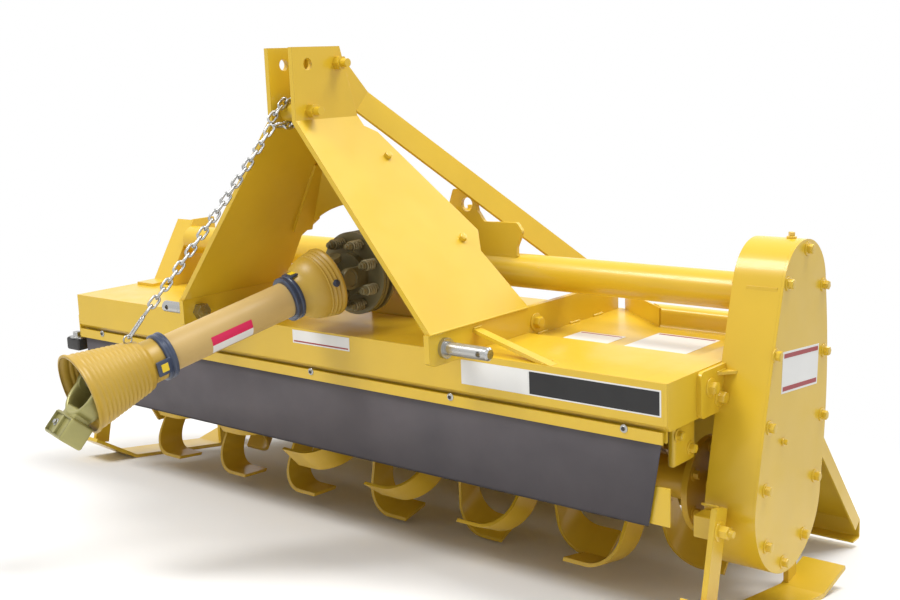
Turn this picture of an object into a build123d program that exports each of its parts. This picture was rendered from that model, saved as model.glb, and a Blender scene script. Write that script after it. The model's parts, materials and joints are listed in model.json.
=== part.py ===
from build123d import *
from math import atan2, ceil, cos, degrees, radians, sin, sqrt, tan
import os

# Mounted rotary tiller, 72 inch class, on a Category 2 three-point hitch.
# Machine frame, in millimetres: x = 0 at the middle of the hitch, +x towards the chain case,
# y = 0 at the front face of the rail, +y towards the tailgate, z = 0 at the top of the rail.
# The finished pieces are then set down as the machine parks, on its two skid shoes.

# Frame and sheet sizes
FRAME_WIDTH = 1900
HITCH_OFFSET = 54
SIDE_PLATE = 8
SIDE_FLANGE = 60
SIDE_FLANGE_THICK = 5
DECK_SHEET = 5
DECK_DROP = 10
DECK_REAR_Y = 476
HUMP_TOP_Z = 35
HUMP_DEPTH = 34
HUMP_FALL = 66
HUMP_ROUND = 12
PLATFORM_REAR_Y = 620
PLATFORM_REAR_HALF = 425
PLATFORM_FRONT_HALF = 604
RAIL_SHEET = 5
RAIL_RIDGE_Z = -83
RAIL_FLANGE = 232
RAIL_LEG_Y = 11
FRAME_RIGHT = FRAME_WIDTH / 2 - HITCH_OFFSET
FRAME_LEFT = -FRAME_WIDTH / 2 - HITCH_OFFSET
FRAME_MIDDLE = -HITCH_OFFSET

# Rubber flap and the strip that clamps it
STRIP_TOP_Z = -96
STRIP_HEIGHT = 24
STRIP_THICK = 4
FLAP_BOTTOM_Z = -288
FLAP_OVERLAP = 18
FLAP_END_GAP = 12

# Tailgate, which carries on the rear slope of the hood
SLOPE_ANGLE = 50
HINGE_Y = 640
HINGE_Z = -172
HINGE_ROD = 16
HINGE_CURL = 5
HINGE_FIT = 0.4
TAILGATE_LENGTH = 530
TAILGATE_SHEET = 5
TAILGATE_LIP = 46
TAILGATE_RETURN = 40
TAILGATE_FLANGE = 32
TAILGATE_SIDE_GAP = 6
TAILGATE_RANGE = 60

# Lower hitch pins and the bars that carry them
PIN_SPREAD = 825
PIN_DIAMETER = 28.4
PIN_LENGTH = 112
PIN_CHAMFER = 4
PIN_Y = -60
PIN_Z = 24
PIN_COLLAR = 44
PIN_COLLAR_THICK = 9
PIN_NUT = 42
PIN_NUT_THICK = 20
LINCH_HOLE = 12
LINCH_SETBACK = 22
HITCH_BAR = 14
HITCH_BAR_TOP_Z = 58
HITCH_BAR_FRONT = -109
HITCH_BAR_REAR = 610
HITCH_X = PIN_SPREAD / 2 - PIN_COLLAR_THICK
BRACE_WIDTH = 24
BRACE_THICK = 8
BRACE_REACH = 216

# Mast
MAST_HEIGHT = 590
MAST_HEAD = 37
MAST_TOP_Z = PIN_Z + MAST_HEIGHT + MAST_HEAD
MAST_BEND_Z = MAST_TOP_Z - 159
MAST_PLATE = 12
MAST_GAP = 64
MAST_FRONT_Y = -105
MAST_TOP_WIDTH = 145
MAST_BEND_WIDTH = 193
MAST_STEP_Y = 30
MAST_STEP_Z = MAST_BEND_Z - 36
MAST_NOTCH_Z = 226
MAST_NOTCH_FOOT_Z = 185
MAST_NOTCH_DEPTH = 34
MAST_FOOT_REAR_Y = 235
MAST_FOOT_TOE = 16
TOP_LINK_BORE = 25.4
STRUT_BOLT_Y = 30
STRUT_BOLT = 19
BOLT_HEX = 16
BOLT_HEAD = 13
BOLT_NUT = 17
BOLT_END = 17
SPACER_Z = MAST_TOP_Z - 138
SPACER_DIAMETER = 42
STRUT_WIDTH = 58
STRUT_THICK = 8
STRUT_BEND_Y = 118
STRUT_BEND_Z = MAST_TOP_Z - 126
MAST_X = MAST_GAP / 2 + MAST_PLATE
FLARE_ANGLE = degrees(atan2(HITCH_X - MAST_X, MAST_BEND_Z - HITCH_BAR_TOP_Z))

# Cross bracket between the flared plates, and the lifting plate on the tube
BRACKET_SHEET = 8
BRACKET_TOP_Z = MAST_BEND_Z - 72
BRACKET_FOOT_Z = 205
BRACKET_ARCH = 45
BRACKET_WING = 60
LIFT_PLATE = 10
LIFT_HOLE = 34
LIFT_EYE = (158, 270)
LIFT_SETBACK = 22

# Gearbox, tube and chain case
TUBE_Y = 352
TUBE_Z = 117
TUBE_DIAMETER = 80
TUBE_WALL = 6
TUBE_FLANGE = 128
TUBE_FLANGE_THICK = 12
GEARBOX_WIDTH = 200
GEARBOX_DEPTH = 230
GEARBOX_TOP_Z = 236
GEARBOX_NOSE = 112
GEARBOX_NOSE_DEPTH = 26

# Left upright
UPRIGHT_INSET = 85
UPRIGHT_WEB = 8
UPRIGHT_WIDTH = 65
UPRIGHT_FOOT_Y = 192
UPRIGHT_FOOT_REACH = 64
UPRIGHT_TOP_Z = 176
UPRIGHT_TOP_WIDTH = 48

# Chain case
CASE_TOP_Y = 357
CASE_TOP_Z = 135
CASE_DEPTH = 104
CASE_WALL = 8
CASE_COVER = 6
CASE_TOP_RADIUS = 99
CASE_BOTTOM_RADIUS = 151
CASE_REAR_BULGE = 19
CASE_FRONT_BULGE = 4
CASE_BRACKET = 10
CASE_BRACKET_FRONT = 112
CASE_BRACKET_REAR = 236
GUSSET_SHEET = 6
GUSSET_FRONT = 178
GUSSET_REACH = 50
GUSSET_Z = -14
CASE_X = FRAME_RIGHT

# Rotor
ROTOR_Y = 295
ROTOR_Z = -293
ROTOR_RADIUS = 245
ROTOR_TUBE = 89
ROTOR_WALL = 10
FLANGE_DIAMETER = 196
FLANGE_THICK = 10
FLANGE_RIGHT_GAP = 206
FLANGE_LEFT_GAP = 86
HUB_DISC = 210
HUB_DISC_THICK = 14
HUB_DISC_X = FRAME_RIGHT - 80
TINES_PER_FLANGE = 6
TINE_THICK = 8
TINE_WIDTH = 72
TINE_REACH = 128
TINE_BEND_RADIUS = 66
TINE_SKEW = 24
TINE_TURNS = (26, 12, 0, -11, -26, -27, -30)
TINE_ROOT_RADIUS = 52
BEARING_DIAMETER = 150
BEARING_DEPTH = 22
STUB_DIAMETER = 50
SHAFT_FIT = 0.4

# Skid shoes and the way the machine parks on them
PARKED_PITCH = 8.5
FLOOR_CLEARANCE = 6
SKID_WIDTH = 100
SKID_SHEET = 10
SKID_MIDDLE_Y = 300
SKID_FRONT = -143
SKID_REAR = 176
SKID_TOE = (-143, 62)
SKID_HEEL = (112, 43)
FLOOR_Z = -502
SKID_GAP = 10
STRAP_THICK = 12
STRAP_WIDTH = 46
STRAP_BOLT = (101, -311)
STRAP_TOP = (112, -268)
REAR_STRAP_TOP = (500, -236)
REAR_STRAP_FOOT = 206
REAR_STRAP_WIDTH = 40
REAR_BOLT_DROP = 20
REAR_SPACER = 36
LUG_SIZE = 44
LUG_FRONT = 100

# Slip clutch and driveline
JOINT_Y = 32
JOINT_Z = 126
CROSS_HALF = 37
CROSS_ARM = 22
CAP_DIAMETER = 30
EAR_THICK = 13
EAR_RADIUS = 24
YOKE_REACH = 52
CLUTCH_DISC = 196
CLUTCH_FRONT_Y = 92
CLUTCH_STACK = 40
CLUTCH_BACK_Y = CLUTCH_FRONT_Y + CLUTCH_STACK
SPRING_COUNT = 8
SPRING_CIRCLE = 152
SPRING_DIAMETER = 25
SPRING_LENGTH = 38
DRIVELINE_YAW = 12
DRIVELINE_PITCH = 14
DRIVELINE_RANGE = 28
JOINT_SPAN = 612
GUARD_DIAMETER = 82
GUARD_WALL = 4
CONE_SHEET = 4
INNER_CONE_RIM = 158
OUTER_CONE_RIM = 166
CONE_START = 24
CONE_END = 118
COLLAR_WIDTH = 24
COLLAR_DIAMETER = 104
OUTER_CONE_START = 470
OUTER_CONE_END = 654
OUTER_CONE_NECK = 98
COUPLER_DROOP = 36
COUPLER_RANGE = 70
COUPLER_HUB = (84, 58)
COUPLER_HUB_ROUND = 16
COUPLER_HUB_LENGTH = 52
COUPLER_HUB_START = 78
COUPLER_BORE = 35
GUARD_BORE = GUARD_DIAMETER / 2 - GUARD_WALL
GUARD_START = CONE_END - 6
GUARD_END = OUTER_CONE_START + 12

# Safety chain
LINK_LENGTH = 34
LINK_WIDTH = 21
LINK_WIRE = 6
LINK_PLAY = 1.6
CHAIN_RING_S = 556


def at_x(x):
    return Plane.YZ.offset(x)


def at_y(y):
    return Plane.XZ.offset(-y)


def at_z(z):
    return Plane.XY.offset(z)


PIECES = {"frame": [], "rotor": [], "tailgate": [], "driveline": [], "coupler": []}


def keep(body, label, part):
    part.label = label
    PIECES[body].append(part)


# Front rail: a folded channel with a leg that hangs down behind the flap
rail_half = RAIL_SHEET / 2
inner_left = FRAME_LEFT + SIDE_PLATE
inner_right = FRAME_RIGHT - SIDE_PLATE
inner_width = inner_right - inner_left
with BuildPart() as front_rail:
    with BuildSketch(at_x(inner_left)):
        with BuildLine():
            Polyline(
                (RAIL_FLANGE, -rail_half),
                (rail_half, -rail_half),
                (rail_half, RAIL_RIDGE_Z),
                (RAIL_LEG_Y + rail_half, STRIP_TOP_Z),
                (RAIL_LEG_Y + rail_half, STRIP_TOP_Z - STRIP_HEIGHT),
            )
        trace(line_width=RAIL_SHEET)
    extrude(amount=inner_width)
    # The top gives way to the folded flanges of the two side plates
    with BuildSketch(at_z(0)):
        for edge_x in (inner_left, inner_right):
            with Locations((edge_x, RAIL_SHEET + RAIL_FLANGE)):
                Rectangle(2 * (SIDE_FLANGE - SIDE_PLATE), 2 * RAIL_FLANGE)
    extrude(amount=-RAIL_SHEET, mode=Mode.SUBTRACT)
keep("frame", "front_rail", front_rail.part)

# Strip and rubber flap, clamped against the leg of the rail
with BuildPart() as flap_strip:
    with BuildSketch(at_x(inner_left)):
        with Locations((-STRIP_THICK, STRIP_TOP_Z - STRIP_HEIGHT)):
            Rectangle(STRIP_THICK, STRIP_HEIGHT, align=(Align.MIN, Align.MIN))
    extrude(amount=inner_width)
keep("frame", "flap_strip", flap_strip.part)

with BuildPart() as rubber_flap:
    with BuildSketch(at_x(inner_left + FLAP_END_GAP)):
        with Locations((0, FLAP_BOTTOM_Z)):
            Rectangle(
                RAIL_LEG_Y,
                STRIP_TOP_Z - STRIP_HEIGHT + FLAP_OVERLAP - FLAP_BOTTOM_Z,
                align=(Align.MIN, Align.MIN),
            )
    extrude(amount=inner_width - 2 * FLAP_END_GAP)
keep("frame", "rubber_flap", rubber_flap.part)

# Hood: deck, ridge and rear slope in one folded sheet
slope_run = cos(radians(SLOPE_ANGLE))
slope_fall = sin(radians(SLOPE_ANGLE))
curl_radius = HINGE_ROD / 2 + HINGE_CURL
hood_end_y = HINGE_Y - (curl_radius + 12) * slope_run
hood_end_z = HINGE_Z + (curl_radius + 12) * slope_fall
deck_mid_z = -DECK_DROP - DECK_SHEET / 2
platform_front_y = DECK_REAR_Y - 30
platform_plan = [
    (-PLATFORM_FRONT_HALF, platform_front_y),
    (PLATFORM_FRONT_HALF, platform_front_y),
    (PLATFORM_FRONT_HALF, DECK_REAR_Y),
    (PLATFORM_REAR_HALF, PLATFORM_REAR_Y),
    (-PLATFORM_REAR_HALF, PLATFORM_REAR_Y),
    (-PLATFORM_FRONT_HALF, DECK_REAR_Y),
]
slope_start_y = hood_end_y - (-DECK_DROP - DECK_SHEET - hood_end_z) * slope_run / slope_fall
with BuildPart() as platform:
    with BuildSketch(at_z(-DECK_DROP)):
        with BuildLine():
            Polyline(*platform_plan, close=True)
        make_face()
    extrude(amount=hood_end_z)
    with BuildSketch(at_z(-DECK_DROP - DECK_SHEET)):
        with BuildLine():
            Polyline(*platform_plan, close=True)
        make_face()
        offset(amount=-DECK_SHEET, kind=Kind.INTERSECTION)
        with Locations((0, platform_front_y)):
            Rectangle(2 * PLATFORM_FRONT_HALF - 2 * DECK_SHEET, 4 * DECK_SHEET)
    extrude(amount=hood_end_z, mode=Mode.SUBTRACT)
    with BuildSketch(at_x(-PLATFORM_FRONT_HALF)):
        with BuildLine():
            Polyline(
                (platform_front_y, -DECK_DROP - DECK_SHEET),
                (slope_start_y, -DECK_DROP - DECK_SHEET),
                (hood_end_y, hood_end_z),
                (hood_end_y, 2 * hood_end_z),
                (platform_front_y, 2 * hood_end_z),
                close=True,
            )
        make_face()
    extrude(amount=2 * PLATFORM_FRONT_HALF, mode=Mode.SUBTRACT)
with BuildPart() as hood:
    with BuildSketch(at_x(inner_left)):
        with BuildLine():
            FilletPolyline(
                (RAIL_SHEET, deck_mid_z),
                (DECK_REAR_Y, deck_mid_z),
                (DECK_REAR_Y, HUMP_TOP_Z),
                (DECK_REAR_Y + HUMP_DEPTH, HUMP_TOP_Z),
                (DECK_REAR_Y + HUMP_DEPTH + DECK_SHEET * 3, HUMP_TOP_Z - HUMP_FALL),
                (hood_end_y, hood_end_z),
                radius=HUMP_ROUND,
            )
        trace(line_width=DECK_SHEET)
    extrude(amount=inner_width)
    # Middle platform, which runs further back than the deck beside it, with a rim on its slanted sides
    with BuildSketch(at_z(HUMP_TOP_Z + DECK_SHEET)):
        with BuildLine():
            Polyline(*platform_plan, close=True)
        make_face()
    extrude(amount=hood_end_z - HUMP_TOP_Z - 3 * DECK_SHEET, mode=Mode.SUBTRACT)
    add(platform.part)
    for sign in (1, -1):
        with BuildSketch(at_z(-DECK_DROP - DECK_SHEET)):
            with BuildLine():
                Polyline(
                    (sign * (PLATFORM_FRONT_HALF - DECK_SHEET / 2), DECK_REAR_Y),
                    (sign * (PLATFORM_REAR_HALF - DECK_SHEET / 2), PLATFORM_REAR_Y - DECK_SHEET),
                )
            trace(line_width=DECK_SHEET)
        extrude(amount=HUMP_TOP_Z + DECK_DROP + DECK_SHEET)
keep("frame", "hood", hood.part)

# Side plates, with a folded top flange, a lobe round the rotor bearing and an ear for the hinge rod
side_outline = [
    (0, 0),
    (0, RAIL_RIDGE_Z),
    (RAIL_LEG_Y, STRIP_TOP_Z),
    (196, STRIP_TOP_Z),
    (200, ROTOR_Z - 60),
    (238, ROTOR_Z - 132),
    (352, ROTOR_Z - 132),
    (410, ROTOR_Z - 70),
    (HINGE_Y - 36, HINGE_Z - 26),
    (HINGE_Y + 20, HINGE_Z - 18),
    (HINGE_Y + 20, HINGE_Z + 14),
    (DECK_REAR_Y + 34, HUMP_TOP_Z - 6),
    (DECK_REAR_Y + 20, HUMP_TOP_Z + 6),
    (DECK_REAR_Y - 6, HUMP_TOP_Z + 6),
    (DECK_REAR_Y - 6, 0),
]
for side, outer_x, inward in (("right", FRAME_RIGHT, -1), ("left", FRAME_LEFT, 1)):
    with BuildPart() as side_plate:
        with BuildSketch(at_x(outer_x)):
            with BuildLine():
                Polyline(*side_outline, close=True)
            make_face()
            with Locations((ROTOR_Y, ROTOR_Z)):
                Circle(STUB_DIAMETER / 2 + SHAFT_FIT, mode=Mode.SUBTRACT)
            with Locations((HINGE_Y, HINGE_Z)):
                Circle(HINGE_ROD / 2, mode=Mode.SUBTRACT)
        extrude(amount=inward * SIDE_PLATE)
        with BuildSketch(at_x(outer_x + inward * SIDE_PLATE)):
            with Locations((RAIL_SHEET, -SIDE_FLANGE_THICK)):
                Rectangle(
                    DECK_REAR_Y - 6 - RAIL_SHEET, SIDE_FLANGE_THICK, align=(Align.MIN, Align.MIN)
                )
        extrude(amount=inward * (SIDE_FLANGE - SIDE_PLATE))
    keep("frame", f"side_plate_{side}", side_plate.part)

# Hinge rod across the rear, held in the side plates
with BuildPart() as hinge_rod:
    with BuildSketch(at_x(FRAME_LEFT)):
        with Locations((HINGE_Y, HINGE_Z)):
            Circle(HINGE_ROD / 2)
    extrude(amount=FRAME_WIDTH)
keep("frame", "hinge_rod", hinge_rod.part)

# Tailgate: curl, panel, lip and return in one sheet, with folded ends
tail_left = inner_left + TAILGATE_SIDE_GAP
tail_width = inner_width - 2 * TAILGATE_SIDE_GAP
tail_start = curl_radius - HINGE_CURL / 2
tail_panel = Plane(
    origin=(tail_left, HINGE_Y, HINGE_Z), x_dir=(0, slope_run, -slope_fall), z_dir=(1, 0, 0)
)
with BuildPart() as tailgate:
    with BuildSketch(tail_panel):
        with BuildLine():
            FilletPolyline(
                (tail_start, 0),
                (TAILGATE_LENGTH, 0),
                (TAILGATE_LENGTH + TAILGATE_LIP * slope_fall, -TAILGATE_LIP * slope_run),
                (
                    TAILGATE_LENGTH + TAILGATE_LIP * slope_fall - TAILGATE_RETURN * slope_run,
                    -TAILGATE_LIP * slope_run - TAILGATE_RETURN * slope_fall,
                ),
                radius=6,
            )
        trace(line_width=TAILGATE_SHEET)
    extrude(amount=tail_width)
    with BuildSketch(tail_panel):
        with BuildLine():
            Polyline(
                (60, 0),
                (TAILGATE_LENGTH - 2, 0),
                (TAILGATE_LENGTH - 2, -TAILGATE_FLANGE),
                (110, -TAILGATE_FLANGE),
                close=True,
            )
        make_face()
    extrude(amount=TAILGATE_SHEET)
    with BuildSketch(tail_panel.offset(tail_width - TAILGATE_SHEET)):
        with BuildLine():
            Polyline(
                (60, 0),
                (TAILGATE_LENGTH - 2, 0),
                (TAILGATE_LENGTH - 2, -TAILGATE_FLANGE),
                (110, -TAILGATE_FLANGE),
                close=True,
            )
        make_face()
    extrude(amount=TAILGATE_SHEET)
    with BuildSketch(tail_panel):
        Circle(curl_radius)
    extrude(amount=tail_width)
    with BuildSketch(tail_panel):
        Circle(HINGE_ROD / 2 + HINGE_FIT)
    extrude(amount=tail_width, mode=Mode.SUBTRACT)
keep("tailgate", "tailgate", tailgate.part)

# Hitch bars, notched where they cross the top of the rail
for side, sign in (("right", 1), ("left", -1)):
    with BuildPart() as hitch_bar:
        with BuildSketch(at_x(sign * HITCH_X)):
            with BuildLine():
                Polyline(
                    (HITCH_BAR_FRONT, HITCH_BAR_TOP_Z),
                    (HITCH_BAR_FRONT, -2),
                    (HITCH_BAR_FRONT + 14, -DECK_DROP),
                    (-0.3, -DECK_DROP),
                    (-0.3, 0.3),
                    (RAIL_FLANGE + 0.3, 0.3),
                    (RAIL_FLANGE + 0.3, -DECK_DROP),
                    (HITCH_BAR_REAR, -DECK_DROP),
                    (HITCH_BAR_REAR, HITCH_BAR_TOP_Z),
                    close=True,
                )
            make_face()
            with Locations((PIN_Y, PIN_Z)):
                Circle(PIN_DIAMETER / 2, mode=Mode.SUBTRACT)
        extrude(amount=-sign * HITCH_BAR)
        # Brace welded to the bar, down to the top of the rail
        brace_from = Vector(sign * (HITCH_X - 20), 50, HITCH_BAR_TOP_Z - 12)
        brace_to = Vector(sign * (HITCH_X + BRACE_REACH + 20), 12, -6)
        brace_run = brace_to - brace_from
        with BuildPart(mode=Mode.PRIVATE) as brace:
            with BuildSketch(Plane(origin=brace_from, x_dir=(0, 1, 0), z_dir=brace_run)):
                Rectangle(BRACE_WIDTH, BRACE_THICK)
            extrude(amount=brace_run.length)
            split(bisect_by=at_z(0), keep=Keep.TOP)
            split(bisect_by=at_x(sign * HITCH_X), keep=Keep.TOP if sign > 0 else Keep.BOTTOM)
        add(brace.part)
    keep("frame", f"hitch_bar_{side}", hitch_bar.part)

    with BuildPart() as hitch_pin:
        with BuildSketch(at_x(sign * (HITCH_X - HITCH_BAR - PIN_NUT_THICK))):
            with Locations((PIN_Y, PIN_Z)):
                Circle(PIN_DIAMETER / 2)
        extrude(amount=sign * (PIN_NUT_THICK + HITCH_BAR + PIN_COLLAR_THICK + PIN_LENGTH))
        chamfer(hitch_pin.faces().sort_by(Axis.X)[-1 if sign > 0 else 0].edges(), PIN_CHAMFER)
        with BuildSketch(at_x(sign * HITCH_X)):
            with Locations((PIN_Y, PIN_Z)):
                Circle(PIN_COLLAR / 2)
        extrude(amount=sign * PIN_COLLAR_THICK)
        with BuildSketch(at_x(sign * (HITCH_X - HITCH_BAR))):
            with Locations((PIN_Y, PIN_Z)):
                RegularPolygon(PIN_NUT / 2, 6)
        extrude(amount=-sign * PIN_NUT_THICK)
        linch_x = sign * (HITCH_X + PIN_COLLAR_THICK + PIN_LENGTH - LINCH_SETBACK)
        with BuildSketch(at_y(PIN_Y - PIN_DIAMETER)):
            with Locations((linch_x, PIN_Z)):
                Circle(LINCH_HOLE / 2)
        extrude(amount=-2 * PIN_DIAMETER, mode=Mode.SUBTRACT)
    keep("frame", f"hitch_pin_{side}", hitch_pin.part)

# Mast plates: upright at the top, then bent outward down to the hitch bars
mast_outline = [
    (MAST_FRONT_Y, MAST_TOP_Z),
    (MAST_FRONT_Y, HITCH_BAR_TOP_Z),
    (MAST_FOOT_REAR_Y, HITCH_BAR_TOP_Z),
    (MAST_FOOT_REAR_Y - MAST_NOTCH_DEPTH, MAST_NOTCH_FOOT_Z),
    (MAST_FOOT_REAR_Y, MAST_NOTCH_Z),
    (MAST_FRONT_Y + MAST_BEND_WIDTH + MAST_STEP_Y, MAST_STEP_Z),
    (MAST_FRONT_Y + MAST_BEND_WIDTH, MAST_BEND_Z - 20),
    (MAST_FRONT_Y + MAST_BEND_WIDTH, MAST_BEND_Z),
    (MAST_FRONT_Y + MAST_TOP_WIDTH, MAST_TOP_Z),
]
mast_depth = MAST_FOOT_REAR_Y - MAST_FRONT_Y
for side, sign in (("right", 1), ("left", -1)):
    with BuildPart() as mast_plate:
        with BuildSketch(at_y(MAST_FRONT_Y)):
            with BuildLine():
                bend = Polyline(
                    (sign * (MAST_X - MAST_PLATE / 2), MAST_TOP_Z),
                    (sign * (MAST_X - MAST_PLATE / 2), MAST_BEND_Z),
                    (sign * (HITCH_X - MAST_PLATE / 2 + MAST_FOOT_TOE), HITCH_BAR_TOP_Z - 19.3),
                )
            trace(line_width=MAST_PLATE)
        extrude(amount=-mast_depth)
        with BuildSketch(at_x(0)):
            with BuildLine():
                Polyline(*mast_outline, close=True)
            make_face()
            with Locations((PIN_Y, PIN_Z + MAST_HEIGHT)):
                Circle(TOP_LINK_BORE / 2, mode=Mode.SUBTRACT)
            with Locations((STRUT_BOLT_Y, PIN_Z + MAST_HEIGHT), (PIN_Y, SPACER_Z)):
                Circle(STRUT_BOLT / 2, mode=Mode.SUBTRACT)
        extrude(amount=sign * (HITCH_X + 40), mode=Mode.INTERSECT)
    keep("frame", f"mast_plate_{side}", mast_plate.part)

# Bolts through the mast, and the spacer tube on the lower one
with BuildPart() as mast_bolts:
    for bolt_y, bolt_z in ((STRUT_BOLT_Y, PIN_Z + MAST_HEIGHT), (PIN_Y, SPACER_Z)):
        with BuildSketch(at_x(-MAST_X - BOLT_HEAD)):
            with Locations((bolt_y, bolt_z)):
                Circle(STRUT_BOLT / 2)
        extrude(amount=2 * MAST_X + BOLT_HEAD + BOLT_NUT + BOLT_END)
        with BuildSketch(at_x(MAST_X)):
            with Locations((bolt_y, bolt_z)):
                RegularPolygon(BOLT_HEX, 6)
        extrude(amount=BOLT_NUT)
        with BuildSketch(at_x(-MAST_X)):
            with Locations((bolt_y, bolt_z)):
                RegularPolygon(BOLT_HEX, 6)
        extrude(amount=-BOLT_HEAD)
keep("frame", "mast_bolt", mast_bolts.part)

with BuildPart() as mast_spacer:
    with BuildSketch(at_x(-MAST_GAP / 2)):
        with Locations((PIN_Y, SPACER_Z)):
            Circle(SPACER_DIAMETER / 2)
            Circle(STRUT_BOLT / 2, mode=Mode.SUBTRACT)
    extrude(amount=MAST_GAP)
keep("frame", "mast_spacer", mast_spacer.part)

# Rear struts from the mast bolt to the rear ends of the hitch bars
strut_mid_x = MAST_GAP / 2 - STRUT_THICK / 2
for side, sign in (("right", 1), ("left", -1)):
    strut_from = Vector(sign * strut_mid_x, STRUT_BEND_Y, STRUT_BEND_Z)
    strut_to = Vector(sign * (HITCH_X - HITCH_BAR - STRUT_THICK), HITCH_BAR_REAR - 20, HUMP_TOP_Z + 10)
    strut_run = strut_to - strut_from
    strut_edge = Vector(0, -strut_run.Z, strut_run.Y).normalized()
    strut_plane = Plane(origin=strut_from, x_dir=strut_edge, z_dir=strut_run)
    with BuildPart() as strut:
        with BuildSketch(at_x(sign * MAST_GAP / 2)):
            with BuildLine():
                Polyline(
                    (STRUT_BOLT_Y - 22, PIN_Z + MAST_HEIGHT + 26),
                    (STRUT_BOLT_Y + 18, PIN_Z + MAST_HEIGHT + 26),
                    (STRUT_BEND_Y + strut_edge.Y * STRUT_WIDTH / 2, STRUT_BEND_Z + strut_edge.Z * STRUT_WIDTH / 2),
                    (STRUT_BEND_Y - strut_edge.Y * STRUT_WIDTH / 2, STRUT_BEND_Z - strut_edge.Z * STRUT_WIDTH / 2),
                    (STRUT_BOLT_Y - 22, PIN_Z + MAST_HEIGHT - 18),
                    close=True,
                )
            make_face()
            with Locations((STRUT_BOLT_Y, PIN_Z + MAST_HEIGHT)):
                Circle(STRUT_BOLT / 2, mode=Mode.SUBTRACT)
        extrude(amount=-sign * STRUT_THICK)
        with BuildSketch(strut_plane):
            Rectangle(STRUT_WIDTH, STRUT_THICK)
        extrude(amount=strut_run.length)
        split(bisect_by=at_x(sign * (HITCH_X - HITCH_BAR)), keep=Keep.BOTTOM if sign > 0 else Keep.TOP)
    keep("frame", f"strut_{side}", strut.part)


# Cross bracket: a tilted web between the flared plates, with a wing flat on each of them
flare_sin = sin(radians(FLARE_ANGLE))
flare_cos = cos(radians(FLARE_ANGLE))
flare_inner = MAST_X - MAST_PLATE / 2 - MAST_PLATE / 2 / flare_cos
rear_slant = (MAST_FOOT_REAR_Y - MAST_FRONT_Y - MAST_BEND_WIDTH - MAST_STEP_Y) / (MAST_STEP_Z - MAST_NOTCH_Z)
bracket_top_y = MAST_FRONT_Y + MAST_BEND_WIDTH + (MAST_BEND_Z - BRACKET_TOP_Z) * rear_slant - 20
bracket_drop = sqrt(1 + rear_slant**2)
bracket_plane = Plane(
    origin=(0, bracket_top_y, BRACKET_TOP_Z), x_dir=(1, 0, 0), z_dir=(0, -1, -rear_slant)
)


def flare_half(z):
    return flare_inner + (MAST_BEND_Z - z) * flare_sin / flare_cos


def bracket_y(z):
    return bracket_top_y + (BRACKET_TOP_Z - z) * rear_slant


with BuildPart() as cross_bracket:
    with BuildSketch(bracket_plane):
        with BuildLine():
            foot = -(BRACKET_TOP_Z - BRACKET_FOOT_Z) * bracket_drop
            top_half = flare_half(BRACKET_TOP_Z)
            foot_half = flare_half(BRACKET_FOOT_Z)
            Polyline((-foot_half, foot), (-top_half, 0), (top_half, 0), (foot_half, foot))
            ThreePointArc((foot_half, foot), (0, foot + BRACKET_ARCH * 2), (-foot_half, foot))
        make_face()
    extrude(amount=-BRACKET_SHEET)
    for sign in (1, -1):
        flare_plane = Plane(
            origin=(sign * flare_inner, 0, MAST_BEND_Z),
            x_dir=(0, 1, 0),
            z_dir=(sign * flare_cos, 0, flare_sin),
        )
        split(bisect_by=flare_plane, keep=Keep.BOTTOM)
        with BuildSketch(flare_plane):
            with BuildLine():
                Polyline(
                    *[
                        (y, sign * (z - MAST_BEND_Z) / flare_cos)
                        for y, z in (
                            (bracket_y(BRACKET_TOP_Z - 40) - 22, BRACKET_TOP_Z - 40),
                            (bracket_y(BRACKET_TOP_Z - 40) + 4, BRACKET_TOP_Z - 40),
                            (bracket_y(BRACKET_FOOT_Z) + 4, BRACKET_FOOT_Z),
                            (bracket_y(BRACKET_FOOT_Z) - BRACKET_WING, BRACKET_FOOT_Z),
                        )
                    ],
                    close=True,
                )
            make_face()
        extrude(amount=-BRACKET_SHEET)
keep("frame", "cross_bracket", cross_bracket.part)

# Gearbox, as one plain block with a round nose for its input shaft
with BuildPart() as gearbox:
    with BuildSketch(at_z(-DECK_DROP)):
        with Locations((0, TUBE_Y)):
            RectangleRounded(GEARBOX_WIDTH, GEARBOX_DEPTH, 24)
    extrude(amount=GEARBOX_TOP_Z + DECK_DROP)
    with BuildSketch(at_y(TUBE_Y - GEARBOX_DEPTH / 2)):
        with Locations((0, JOINT_Z)):
            Circle(GEARBOX_NOSE / 2)
    extrude(amount=GEARBOX_NOSE_DEPTH)
keep("frame", "gearbox", gearbox.part)

# Drive tube to the chain case and support tube to the left upright
upright_x = FRAME_LEFT + UPRIGHT_INSET
drive_run = CASE_X - GEARBOX_WIDTH / 2
support_run = -upright_x - UPRIGHT_WEB - GEARBOX_WIDTH / 2
for label, start_x, run, flange_side in (
    ("drive_tube", GEARBOX_WIDTH / 2, drive_run, 1),
    ("support_tube", -GEARBOX_WIDTH / 2, -support_run, 0),
):
    with BuildPart() as tube:
        with BuildSketch(at_x(start_x)):
            with Locations((TUBE_Y, TUBE_Z)):
                Circle(TUBE_DIAMETER / 2)
                Circle(TUBE_DIAMETER / 2 - TUBE_WALL, mode=Mode.SUBTRACT)
        extrude(amount=run)
        if flange_side:
            with BuildSketch(at_x(start_x + run)):
                with Locations((TUBE_Y, TUBE_Z)):
                    Circle(TUBE_FLANGE / 2)
                    Circle(TUBE_DIAMETER / 2 - TUBE_WALL, mode=Mode.SUBTRACT)
            extrude(amount=-TUBE_FLANGE_THICK)
    keep("frame", label, tube.part)

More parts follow.
